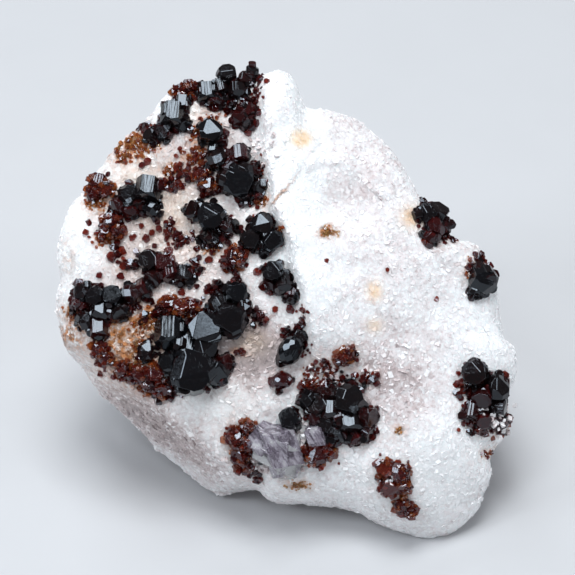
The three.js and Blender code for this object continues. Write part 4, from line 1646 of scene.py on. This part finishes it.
@dataclass
class UviteClusters:
    """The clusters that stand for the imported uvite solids. Crystals narrower than loose_below
    lean more than their rows say, and a share of them lies across the cluster."""

    rock: Rock
    dark: bpy.types.Material
    red: bpy.types.Material
    shapes: int = 18
    loose_below: float = 7.0
    loosened: float = 26.0
    lying: float = 0.24
    lying_toward: tuple[float, float] = (258.0, 282.0)
    brood_per_mm: float = 0.7
    coat: int = 22
    foot: int = 12
    chance: np.random.Generator = field(default_factory=lambda: np.random.default_rng(21))
    forms: list[Form] = field(init=False)
    stubs: list[Form] = field(init=False)

    def build(self) -> None:
        """Makes every cluster: its crystals, their parallel growths and the small ones on and
        round them. Those round their feet are one piece."""
        caps = np.linspace(0.32, 0.88, self.shapes)
        self.forms = [UviteHabit(caps=(c, c + 0.08)).form(self.chance) for c in caps]
        self.forms.append(EggHabit().form())
        self.stubs = [StubHabit().form(self.chance) for _ in range(self.shapes)]
        feet = []
        for clusters, material, slot, usual in (
            (DARK_CLUSTERS, self.dark, Slot.UVITE, (0.0, 0.22)),
            (RED_CLUSTERS, self.red, Slot.RED_UVITE, (0.4, 0.56)),
        ):
            for node, rows in clusters.items():
                crystals = np.array(rows, float)
                shown, tint = SHOWN_FORMS.get(node, ()), CLUSTER_TINTS.get(node, usual)
                batches = self.grown(crystals, tint, shown)
                if node not in BARE_CLUSTERS:
                    batches += self.parallel(crystals, tint)
                    if slot is Slot.UVITE:
                        batches += self.brood(crystals)
                    feet += self.footed(crystals, tint)
                    if slot is Slot.RED_UVITE:
                        batches.append(self.coated(crystals))
                make_piece(node.replace("uvite", "uvites"), Faces.joined(batches), material,
                           [node])
        make_piece("small_uvites_round_clusters", Faces.joined(feet), self.red)

    def grown(
        self, crystals: Array, tint: tuple[float, float], shown: Sequence[int] = ()
    ) -> list[Faces]:
        """The cluster's own crystals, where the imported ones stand. Small ones are redder, and
        wide ones darker.

        Args:
            crystals: the cluster's rows.
            tint: smallest and largest tint.
            shown: forms of the first crystals, from pointed to flat-ended.

        Returns:
            Their polygons, by form.
        """
        draw, count, width = self.chance.uniform, len(crystals), crystals[:, 2]
        posed = crystals[:, 3:6].copy()
        loose = (width < self.loose_below) & (np.arange(count) >= len(shown))
        posed[:, 0] += draw(0.0, self.loosened, count) * loose
        lying = loose & (self.chance.random(count) < self.lying)
        toward = draw(*self.lying_toward, count)
        across = np.column_stack([draw(54.0, 66.0, count), toward, toward % 60.0])
        posed[lying] = across[lying]
        tints = draw(*tint, count) + 0.1 * (width < 4.2)
        tints *= np.where(width > 5.5, 0.5, 1.0)
        tints = np.minimum(tints, 0.33 if tint[1] < 0.4 else 1.0)
        pick = self.chance.integers(self.shapes, size=count)
        pick[:len(shown)] = shown
        return Faces.picked(self.forms, pick, seated(self.rock, crystals), width / 2.0,
                            lean_turns(posed), tints)

    def parallel(self, crystals: Array, tint: tuple[float, float]) -> list[Faces]:
        """Smaller crystals grown parallel to each, out of its shoulders: a place at a random
        angle, 0.4 to 0.9 of the half-width from the axis, a little below the top.

        Args:
            crystals: the cluster's rows.
            tint: smallest and largest tint.

        Returns:
            The polygons round each crystal.
        """
        made, draw = [], self.chance.uniform
        turns, middle = lean_turns(crystals[:, 3:6]), seated(self.rock, crystals)
        for width, turn, place in zip(crystals[:, 2], turns, middle):
            count = int(self.chance.integers(2, 5) + width // 3.0) if width > 3.0 else 2
            around = np.radians(draw(0.0, 360.0, count))
            out = draw(0.4, 0.9, count)
            rise = draw(-0.4, 0.45, count) * (1.15 - out)
            own = np.stack([out * np.cos(around), out * np.sin(around), rise], -1) * width / 2.0
            sizes = draw(0.28, 0.6, count) * width / 2.0
            form = self.forms[int(self.chance.integers(self.shapes))]
            made.append(Faces.stamped(form, place + own @ turn.T, sizes,
                                      np.repeat(turn[None], count, 0),
                                      draw(*tint, count) + 0.03))
        return made

    def brood(self, crystals: Array) -> list[Faces]:
        """Small dark crystals against the sides of each, more the wider it is: set 0.34 to
        0.54 of the width away, and lower the further out they are.

        Args:
            crystals: the cluster's rows.

        Returns:
            Their polygons, by form.
        """
        rows = np.repeat(crystals, (crystals[:, 2] * self.brood_per_mm).astype(int), axis=0)
        draw, count = self.chance.uniform, len(rows)
        around = np.radians(draw(0.0, 360.0, count))
        out = draw(0.34, 0.54, count)
        away = (out * rows[:, 2])[:, None] * np.stack([np.cos(around), np.sin(around)], -1)
        small = np.column_stack([rows[:, :2] + away, draw(1.2, 2.4, count)])
        middles = seated(self.rock, small)
        middles[:, 2] += (0.6 - out) * draw(0.0, 1.5, count) * rows[:, 2]
        posed = np.column_stack([
            draw(0.0, 75.0, count), np.degrees(around), draw(0.0, 60.0, count)])
        lying = self.chance.random(count) < self.lying
        posed[lying] = np.column_stack([
            draw(56.0, 68.0, count), draw(*self.lying_toward, count), draw(25.0, 35.0, count),
        ])[lying]
        tints = draw(0.05, 0.34, count)
        pick = self.chance.integers(self.shapes, size=count)
        return Faces.picked(self.forms, pick, middles, small[:, 2] / 2.0, lean_turns(posed),
                            tints)

    def coated(self, crystals: Array) -> Faces:
        """Tiny crystals all over each: thrown on the upper side of a ball of its width.

        Args:
            crystals: the cluster's rows.

        Returns:
            Their polygons.
        """
        rows = np.repeat(crystals, self.coat, axis=0)
        draw, count = self.chance.uniform, len(rows)
        way = unit(self.chance.normal(size=(count, 3)) + [0.0, 0.0, 0.6])
        way[:, 2] = np.abs(way[:, 2])
        out = rows[:, 2:3] / 2.0 * draw(0.55, 1.2, (count, 1)) * [1.25, 1.25, 0.85]
        sizes = draw(0.22, 0.75, count)
        turns = turns_onto(way, draw(0.0, 360.0, count))
        return Faces.stamped(self.stubs[0], seated(self.rock, rows) + way * out, sizes, turns,
                             draw(0.42, 0.78, count))

    def footed(self, crystals: Array, tint: tuple[float, float]) -> list[Faces]:
        """Small crystals in a ring round the foot of each, seated on the rock.

        Args:
            crystals: the cluster's rows.
            tint: smallest and largest tint of the cluster.

        Returns:
            Their polygons, by form.
        """
        rows = np.repeat(crystals, self.foot, axis=0)
        draw, count = self.chance.uniform, len(rows)
        around = np.radians(draw(0.0, 360.0, count))
        away = rows[:, 2] * draw(0.34, 0.6, count) + 0.3
        places, normals = self.rock.seats(rows[:, 0] + away * np.cos(around),
                                          rows[:, 1] + away * np.sin(around))
        sizes = draw(0.35, 1.0, count)
        turns = turns_onto(normals, draw(0.0, 360.0, count)) @ lean_turns(np.column_stack([
            draw(0.0, 50.0, count), draw(0.0, 360.0, count), draw(0.0, 60.0, count)]))
        tints = draw(tint[0] + 0.22, tint[1] + 0.26, count)
        pick = self.chance.integers(self.shapes, size=count)
        return Faces.picked(self.stubs, pick, places + normals * (0.2 * sizes)[:, None], sizes,
                            turns, tints)


# Crusts of small uvites as u, v, half-width along u and v, crystal size, and tint: 0.3 is
# near black, 0.5 deep red, 0.9 orange-brown. From the top of the face down.
CRUSTS: Rows = (
    (-24, 52.3, 1.9, 1.2, 1.4, 0.45), (-19, 53.5, 2.4, 1, 1, 0.85), (-7.4, 50.9, 1, 4.1, 1.2, 0.45),
    (-23.3, 48.5, 1.2, 1, 1.3, 0.7), (-9.6, 47, 1.9, 1.2, 1.2, 0.45),
    (-14.9, 46.1, 3.4, 1.4, 1.3, 0.4), (-18.7, 43.4, 1.9, 1.2, 1, 0.7),
    (-33.6, 41.3, 1.9, 1.4, 1.5, 0.45), (-22.1, 40.1, 1, 1.7, 1, 0.75),
    (-36.2, 37.4, 3.6, 2.2, 1.1, 0.85), (-39.4, 34.3, 1.7, 1.2, 1.1, 0.8),
    (-21.8, 34.6, 3.1, 2.2, 1.3, 0.7), (-28.3, 31, 1.4, 1.2, 1, 0.8),
    (-25.4, 31.2, 2.2, 1.4, 1.3, 0.55), (-19.9, 30.2, 2.2, 1.9, 1.5, 0.4),
    (-7, 28.3, 1.2, 4.8, 1.1, 0.6), (-27.1, 27.8, 2.4, 1.4, 1.3, 0.55),
    (-44.6, 27.4, 2.4, 2.2, 1.5, 0.4), (-18.2, 26.2, 1.7, 1.2, 1.4, 0.45),
    (-6, 24.5, 1, 1.4, 0.9, 0.85), (-45.8, 23.8, 2.2, 1.4, 1, 0.8), (-37, 22.8, 2.2, 1.4, 1.4, 0.4),
    (-32.2, 22.1, 1.7, 1.4, 1.6, 0.3), (31.9, 21.1, 1.7, 2.4, 1.3, 0.4),
    (-42.2, 18.7, 2.2, 2.2, 1.6, 0.35), (-28.3, 17.8, 1.7, 1.4, 1.3, 0.55),
    (-14.2, 17.8, 1.9, 1.7, 1.4, 0.45), (9.4, 16.8, 1.7, 1, 0.9, 1),
    (37.9, 16.8, 2.2, 1.7, 1.2, 0.5), (-2.2, 16.6, 1, 1, 0.9, 0.85),
    (-44.2, 15.1, 1.9, 1.4, 1, 0.75), (-26.4, 14.9, 2.2, 1.4, 1.3, 0.5),
    (-18.7, 14.9, 3.8, 1.4, 1.4, 0.35), (36, 14.9, 2.9, 1, 1.1, 0.5),
    (-7.2, 13.4, 2.4, 1.4, 1.3, 0.4), (-18.2, 13, 1.9, 1, 0.8, 0.85),
    (-40.8, 11, 1.2, 1.9, 1.5, 0.5), (-12.5, 10.6, 1.2, 1.2, 1.6, 0.45),
    (45.8, 9.6, 1.9, 1.7, 1.2, 0.55), (-37.9, 8.6, 2.2, 1, 1.5, 0.5),
    (-22.1, 8.2, 1.9, 1.7, 1.3, 0.5), (44.4, 7.2, 1.4, 1.9, 0.9, 0.75),
    (-12.2, 6.2, 0.7, 1.7, 1.2, 0.5), (-0.5, 4.1, 1.7, 2.4, 1.4, 0.4),
    (-17.3, 2.6, 2.2, 1.7, 1.5, 0.4), (-48.7, 2.4, 2.2, 1.9, 1.5, 0.4),
    (-37.9, 0, 3.8, 2.2, 1.3, 0.4), (-17.8, -0.5, 2.2, 1.2, 1.2, 0.4),
    (-45.1, -1.9, 2.4, 1.2, 1.1, 0.7), (-29.5, -2.4, 5.3, 1.9, 1.4, 0.4),
    (-50.9, -2.4, 1.9, 1.4, 0.9, 0.85), (-7.2, -3.8, 1.7, 1.7, 1.2, 0.45),
    (3.4, -4.3, 1, 3.1, 1, 0.5), (-32.6, -4.8, 3.4, 2.2, 0.9, 0.85),
    (0.2, -7.4, 1.9, 1.7, 1.1, 0.4), (3.8, -10.6, 1.2, 1.4, 1, 0.45),
    (-11.3, -11.8, 1.2, 0.5, 1.2, 0.45), (-35.5, -12, 1.4, 4.3, 0.9, 0.85),
    (14.6, -12.5, 1.7, 1.4, 1, 0.5), (-44.2, -13, 1.7, 2.9, 1.1, 0.6),
    (8.4, -14.2, 1.4, 1, 1, 0.55), (-39.4, -16.8, 1.9, 1.7, 1.3, 0.6),
    (10.1, -16.8, 2.4, 1.7, 0.9, 0.6), (18.7, -17.8, 1.9, 1.4, 1.2, 0.5),
    (-1.4, -18.5, 2.2, 1.4, 1.5, 0.4), (-33.1, -18.7, 3.4, 1.9, 1, 0.75),
    (5.5, -19, 1.7, 3.1, 1, 0.65), (13.7, -19.9, 3.4, 1.9, 1.1, 0.3),
    (-29.3, -20.6, 3.4, 2.4, 1.4, 0.4), (42.7, -21.4, 1.7, 3.4, 1.5, 0.45),
    (51.6, -24, 1.4, 2.4, 1.2, 0.65), (46.3, -28.3, 3.8, 2.9, 1.3, 0.45),
    (11.5, -29.3, 3.4, 2.2, 1.3, 0.35), (50.9, -29.8, 2.2, 2.4, 1.2, 0.6),
    (26.2, -30.2, 0.7, 0.7, 0.8, 1), (-12.5, -31.2, 1.9, 2.2, 1.2, 0.7),
    (16.1, -31.7, 3.4, 1.7, 1.2, 0.5), (-8.6, -33.1, 1.9, 2.2, 1.5, 0.35),
    (7.2, -34.8, 3.4, 1.9, 1.3, 0.4), (-12, -35.5, 1.4, 1.2, 0.9, 0.9),
    (48.2, -36.5, 1.7, 0.7, 0.9, 0.7), (-10.3, -38.6, 1.9, 1.7, 1.4, 0.45),
    (-7.7, -41.3, 1.7, 1.4, 1.3, 0.5), (25, -41.5, 3.1, 3.1, 1.3, 0.45),
    (2.6, -43.7, 1.9, 0.7, 0.7, 1), (26.4, -44.3, 1.3, 0.9, 1, 0.6),
    (28.3, -49.4, 2, 0.9, 1.1, 0.6),
)

# Single small red crystals as u, v, width.
SINGLES: Rows = (
    (-5, 52.3, 1.4), (-7.2, 42.5, 1.7), (-9.4, 40.3, 1.7), (-33.6, 33.4, 1.7), (-34.8, 32.6, 1.4),
    (-28.8, 27.1, 1.2), (-17.8, 26.2, 1.4), (-40.1, 25, 1.2), (-47.5, 19, 1.2), (-29, 19, 1.2),
    (-35, 18.2, 1.2), (-30.7, 17.5, 1.4), (-22.8, 16.8, 1.2), (-28.8, 16.6, 1.9),
    (-32.4, 16.6, 1.4), (-48.2, 16.6, 1.4), (-37, 15.4, 1.4), (-25.7, 15.4, 1.4),
    (-33.8, 15.1, 1.7), (-24.2, 14.4, 1), (-31.7, 13.4, 1.2), (-41.3, 13.2, 1.7),
    (-21.6, 12.7, 1.4), (-28.3, 12.2, 1.9), (-36.2, 12, 1.4), (-42.2, 10.8, 2.2),
    (-18.7, 10.1, 1.7), (9.1, 9.8, 1), (-15.4, 9.6, 1.2), (-37.4, 9.1, 2.2), (-10.1, 8.9, 1.2),
    (-39.1, 8.6, 1.9), (23.5, 7.7, 1), (-7.2, 7.2, 1.7), (-12.2, 6.7, 1.2), (-44.9, 6.5, 1.4),
    (-39.8, 6.2, 1.7), (-12.2, 5.5, 1.2), (-25.2, 2.4, 1.7), (35.3, 0.7, 1), (-3.1, -1.7, 1.4),
    (0.5, -1.7, 1.7), (-6.7, -3.1, 1.9), (-8.2, -5.5, 1.4), (5, -15.8, 1.4), (19.4, -18.2, 1.7),
    (21.1, -19.2, 1.4), (3.1, -19.7, 1.7), (12.5, -19.7, 1.7),
)


@dataclass
class UviteDruse:
    """Crusts of small uvites strewn between the clusters, and the single red ones."""

    rock: Rock
    finish: bpy.types.Material
    cover: float = 2.2
    spread: float = 0.62
    brown_from: float = 0.65
    fine: float = 0.65
    shapes: int = 6
    chance: np.random.Generator = field(default_factory=lambda: np.random.default_rng(5))

    def build(self) -> None:
        """Makes the red crusts, the brown crusts and the singles, one piece each."""
        stubs = [StubHabit().form(self.chance) for _ in range(self.shapes)]
        rows = np.array(CRUSTS)
        for name, chosen in (
            ("red_uvite_crusts", rows[rows[:, 5] < self.brown_from]),
            ("brown_uvite_crusts", rows[rows[:, 5] >= self.brown_from]),
        ):
            strewn = np.vstack([self.strewn(row) for row in chosen])
            make_piece(name, self.set_down(strewn, stubs), self.finish)
        singles = np.array(SINGLES)
        tints = self.chance.uniform(0.42, 0.6, len(singles))
        singles = np.column_stack([singles, tints, np.zeros(len(singles))])
        make_piece("single_red_uvites", self.set_down(singles, stubs), self.finish)

    def strewn(self, row: Array) -> Array:
        """Crystals of one crust: places fall off from its middle as a bell curve.

        Args:
            row: the crust's row.

        Returns:
            Rows of u, v, width, tint and how high the crystal is piled, in widths.
        """
        u, v, ru, rv, size, tint = row
        size *= self.fine if tint >= self.brown_from else 0.5 + 0.5 * self.fine
        count = int(self.cover * pi * ru * rv / size**2) + 4
        away = self.chance.normal(0.0, self.spread, (count, 2)) * (ru, rv)
        width = size * self.chance.uniform(0.55, 1.35, count)
        tints = tint + self.chance.normal(0.0, 0.08, count) - 0.1 * (width / size - 1.0)
        pile = self.chance.uniform(-0.1, 0.35, count)
        return np.column_stack([away + (u, v), width, tints, pile])

    def set_down(self, rows: Array, stubs: Sequence[Form]) -> Faces:
        """Small crystals on the rock, leaning at random from its normal.

        Args:
            rows: u, v, width, tint and pile of each.
            stubs: forms to pick from.

        Returns:
            Their polygons.
        """
        u, v, width, tints, pile = rows.T
        places, normals = self.rock.seats(u, v)
        count = len(u)
        spin = lean_turns(self.chance.uniform(0.0, 1.0, (count, 3)) * (65.0, 360.0, 60.0))
        turns = turns_onto(normals, self.chance.uniform(0.0, 360.0, count)) @ spin
        middles = places + normals * (width * pile)[:, None]
        pick = self.chance.integers(len(stubs), size=count)
        return Faces.joined(Faces.picked(stubs, pick, middles, width / 2.0, turns,
                                         np.clip(tints, 0.0, 1.0)))


@dataclass
class ClearRhombs:
    """See-through magnesite rhombs in the lower vug."""

    rock: Rock
    finish: bpy.types.Material
    groups: Mapping[str, Rows] = field(default_factory=lambda: {
        "clear_magnesite_group": (
            (-2.2, -33.4, 8, 62, 40, 10), (-5.6, -31.8, 5.6, 50, 120, 25),
            (-1.6, -37, 6.4, 40, 250, 0), (-5.6, -35.8, 5, 65, 200, 35),
            (1, -35, 4.4, 30, 330, 15),
        ),
        "clear_magnesite_stud": ((6.8, -31.4, 3.6, 30, 60, 0),),
    })
    blades: int = 10
    blade_outs: tuple[float, ...] = (0.3, 0.9, 1.2, 0.3, 1.0, 1.3)

    def build(self) -> None:
        """Makes each group from its rows, with thin blades split off the sides of each rhomb."""
        form = rhomb_form().chamfered(0.02)
        blade = Form.inside(rhomb_form().planes()[0], np.array(self.blade_outs))
        chance = np.random.default_rng(31)
        for node, rows in self.groups.items():
            crystals = np.array(rows, float)
            turns = lean_turns(crystals[:, 3:6])
            pale = 0.3 + 0.7 * smoothstep(-crystals[:, 1], 32.0, 37.0)
            middles = seated(self.rock, crystals)
            whole = Faces.stamped(form, middles, crystals[:, 2] / 2.0, turns, pale)
            many = np.repeat(np.arange(len(crystals)), self.blades)
            rough = lean_turns(chance.uniform(0.0, 1.0, (len(many), 3)) * (40.0, 360.0, 50.0))
            away = unit(chance.normal(size=(len(many), 3))) * [1.0, 1.0, 0.5]
            half = crystals[many, 2:3] / 2.0
            sizes = half[:, 0] * chance.uniform(0.3, 0.8, len(many))
            tints = pale[many] + chance.uniform(-0.3, 0.3, len(many))
            split = Faces.stamped(blade, middles[many] + away * half * 0.6, sizes,
                                  turns[many] @ rough, tints)
            make_piece(node.replace("clear_magnesite", "clear_rhomb"), Faces.joined([whole, split]),
                       self.finish, [node])


# Small rhombs strewn as u, v, half-width along u and v, largest rise, count.
SUGAR_ROWS: Rows = (
    (-2.6, -39.4, 4.4, 1.4, 0.5, 70), (-8.2, -36.4, 1.6, 2.6, 0.8, 40), (3.2, -34, 1.6, 3, 1.2, 46),
    (2.4, -29.6, 2, 1.6, 0.8, 24), (49.6, -28.6, 2.4, 2.2, 2.2, 44), (46.4, -25, 1.6, 1.6, 2, 12),
    (25.2, -41.2, 1.7, 1.6, 2.4, 26), (9.2, -17.8, 4, 2.4, 0.3, 40), (-33, -8, 5, 4, 0.1, 34),
    (-6, 36.4, 3.4, 3, 0.2, 30), (-11, -5.6, 2.6, 2, 0.2, 24), (-34.4, -13.2, 3, 2, 0.1, 14),
)


@dataclass
class SugarGrains:
    """Small magnesite rhombs, 0.3 to 1 mm wide, that grew among the uvites."""

    rock: Rock
    finish: bpy.types.Material

    def build(self) -> None:
        """Throws each spot's rhombs as a bell curve, turned at random."""
        chance = np.random.default_rng(17)
        rows = np.array(SUGAR_ROWS)
        rows = np.repeat(rows, rows[:, 5].astype(int), axis=0)
        count = len(rows)
        places = rows[:, :2] + chance.normal(0.0, 0.6, (count, 2)) * rows[:, 2:4]
        seats, normals = self.rock.seats(*places.T)
        rise = chance.uniform(0.0, 1.0, (count, 1)) * rows[:, 4:5]
        turns = turns_onto(unit(chance.normal(size=(count, 3))),
                           chance.uniform(0.0, 360.0, count))
        middles = seats + normals * rise
        grains = Faces.stamped(rhomb_form(), middles, chance.uniform(0.16, 0.48, count), turns,
                               np.zeros(count))
        # The rhombs take the rock's lilac value, its painted shade and painted light included,
        # shifted at random.
        worth = rock_values(middles, ())
        worth["lilac"] += chance.normal(0.25, 0.25, count)
        worth["rust"] *= chance.uniform(0.0, 0.7, count)
        grains.give(worth)
        make_piece("sugar_rhombs_among_uvites", grains, self.finish)


# ---- the studio


@dataclass(frozen=True)
class Softbox:
    """A square soft light that points at the specimen."""

    name: str
    lean: float
    toward: float
    far: float
    side: float
    power: float
    colour: Colour = (0.86, 0.93, 1.0)

    def build(self) -> None:
        """Adds the light, lean degrees off the face's axis, towards an angle round it."""
        data = bpy.data.lights.new(self.name, "AREA")
        data.shape, data.size, data.energy = "SQUARE", self.side, self.power
        data.color = self.colour
        way = ring(1, self.toward, self.lean)[0]
        light = into_scene(self.name, data)
        light.location = FACE.to_row(way * self.far / MM)
        light.rotation_euler = Vector(FACE.turn @ way).to_track_quat("Z", "Y").to_euler()


@dataclass(frozen=True)
class Studio:
    """Pale floor, soft lights, pale surroundings and the camera square on to the face."""

    floor_half: float = 1.6
    floor_points: int = 9
    floor_colour: Colour = (0.52, 0.52, 0.53)
    floor_mottle: float = 0.97
    surround: Colour = (0.53, 0.52, 0.54)
    surround_strength: float = 0.22
    camera_far: float = 800.0
    camera_at: tuple[float, float] = (-0.12, 3.48)
    lens: float = 208.7
    sensor: float = 36.0
    sees_to: float = 20.0
    lights: tuple[Softbox, ...] = (
        Softbox("top_softbox", 50.0, 92.0, 1.25, 0.6, 15.0, (0.92, 0.965, 1.0)),
        Softbox("rear_softbox", 84.0, 105.0, 1.3, 0.5, 3.8),
        Softbox("left_softbox", 56.0, 165.0, 1.2, 0.36, 4.8),
        Softbox("right_softbox", 60.0, 14.0, 1.2, 0.36, 3.6),
        Softbox("front_softbox", 13.0, 60.0, 1.25, 0.15, 0.5),
        Softbox("window_softbox", 34.0, 130.0, 1.25, 0.24, 2.0),
        Softbox("low_left_softbox", 36.0, 215.0, 1.25, 0.13, 0.5),
        Softbox("low_right_softbox", 40.0, 325.0, 1.25, 0.13, 0.8),
    )

    def build(self) -> None:
        """Adds the floor, the lights, the surroundings and the camera."""
        self.floor()
        for light in self.lights:
            light.build()
        world = bpy.data.worlds.new("studio")
        world.use_nodes = True
        background = world.node_tree.nodes["Background"]
        background.inputs["Color"].default_value = (*self.surround, 1.0)
        background.inputs["Strength"].default_value = self.surround_strength
        bpy.context.scene.world = world
        bpy.context.scene.view_settings.view_transform = "Standard"
        self.camera()

    def floor(self) -> None:
        """A level sheet at the table's height, with a faint mottle."""
        material, graph, shader, _ = start_material("studio_floor")
        mottle = graph.noise(graph.place(), 0.05, 2.0)
        darker = tuple(c * self.floor_mottle for c in self.floor_colour)
        graph.wire(shader, {
            "Base Color": graph.mixed(mottle, darker, self.floor_colour), "Roughness": 0.7})
        line = np.linspace(-self.floor_half, self.floor_half, self.floor_points)
        x, y = (g.ravel() for g in np.meshgrid(line, line, indexing="ij"))
        mesh = bpy.data.meshes.new("studio_floor")
        mesh.from_pydata(np.stack([x, y, 0.0 * x], -1).tolist(), [],
                         grid_quads(self.floor_points).tolist())
        mesh.materials.append(material)
        into_scene("studio_floor", mesh)

    def camera(self) -> None:
        """The camera, looking straight down the face's own axis."""
        data = bpy.data.cameras.new("camera")
        data.lens, data.sensor_width, data.clip_end = self.lens, self.sensor, self.sees_to
        camera = into_scene("camera", data)
        spot = FACE.to_row(np.array([*self.camera_at, self.camera_far]))
        camera.matrix_world = Matrix.Translation(Vector(spot)) @ Matrix(FACE.turn).to_4x4()
        bpy.context.scene.camera = camera


def main() -> None:
    """Builds the studio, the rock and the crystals."""
    logging.basicConfig(level=logging.INFO, format="%(name)s: %(message)s")
    Studio().build()
    facets, stains, growth = facet_group(), stain_group(), growth_group()
    magnesite = MagnesiteFinish(facets, stains).make()
    sugar = MagnesiteFinish(facets, stains, "magnesite_grains", soft=0.0).make()
    dark = UviteFinish(growth, "black_uvite", ribs=1.0, gloss=0.05).make()
    red = UviteFinish(growth, "red_uvite", ribs=0.5, gloss=0.06, clear=0.8).make()
    rock = Rock()
    halos = tuple((u, v, 1.4 * ru + 0.5, 1.4 * rv + 0.5, 1.2 * max(0.0, tint - 0.32))
                  for u, v, ru, rv, _, tint in CRUSTS)
    RockBody(rock, magnesite, sugar, halos).build()
    UviteClusters(rock, dark, red).build()
    UviteDruse(rock, red).build()
    ClearRhombs(rock, ClearFinish().make()).build()
    SugarGrains(rock, sugar).build()


if __name__ == "__main__":
    main()
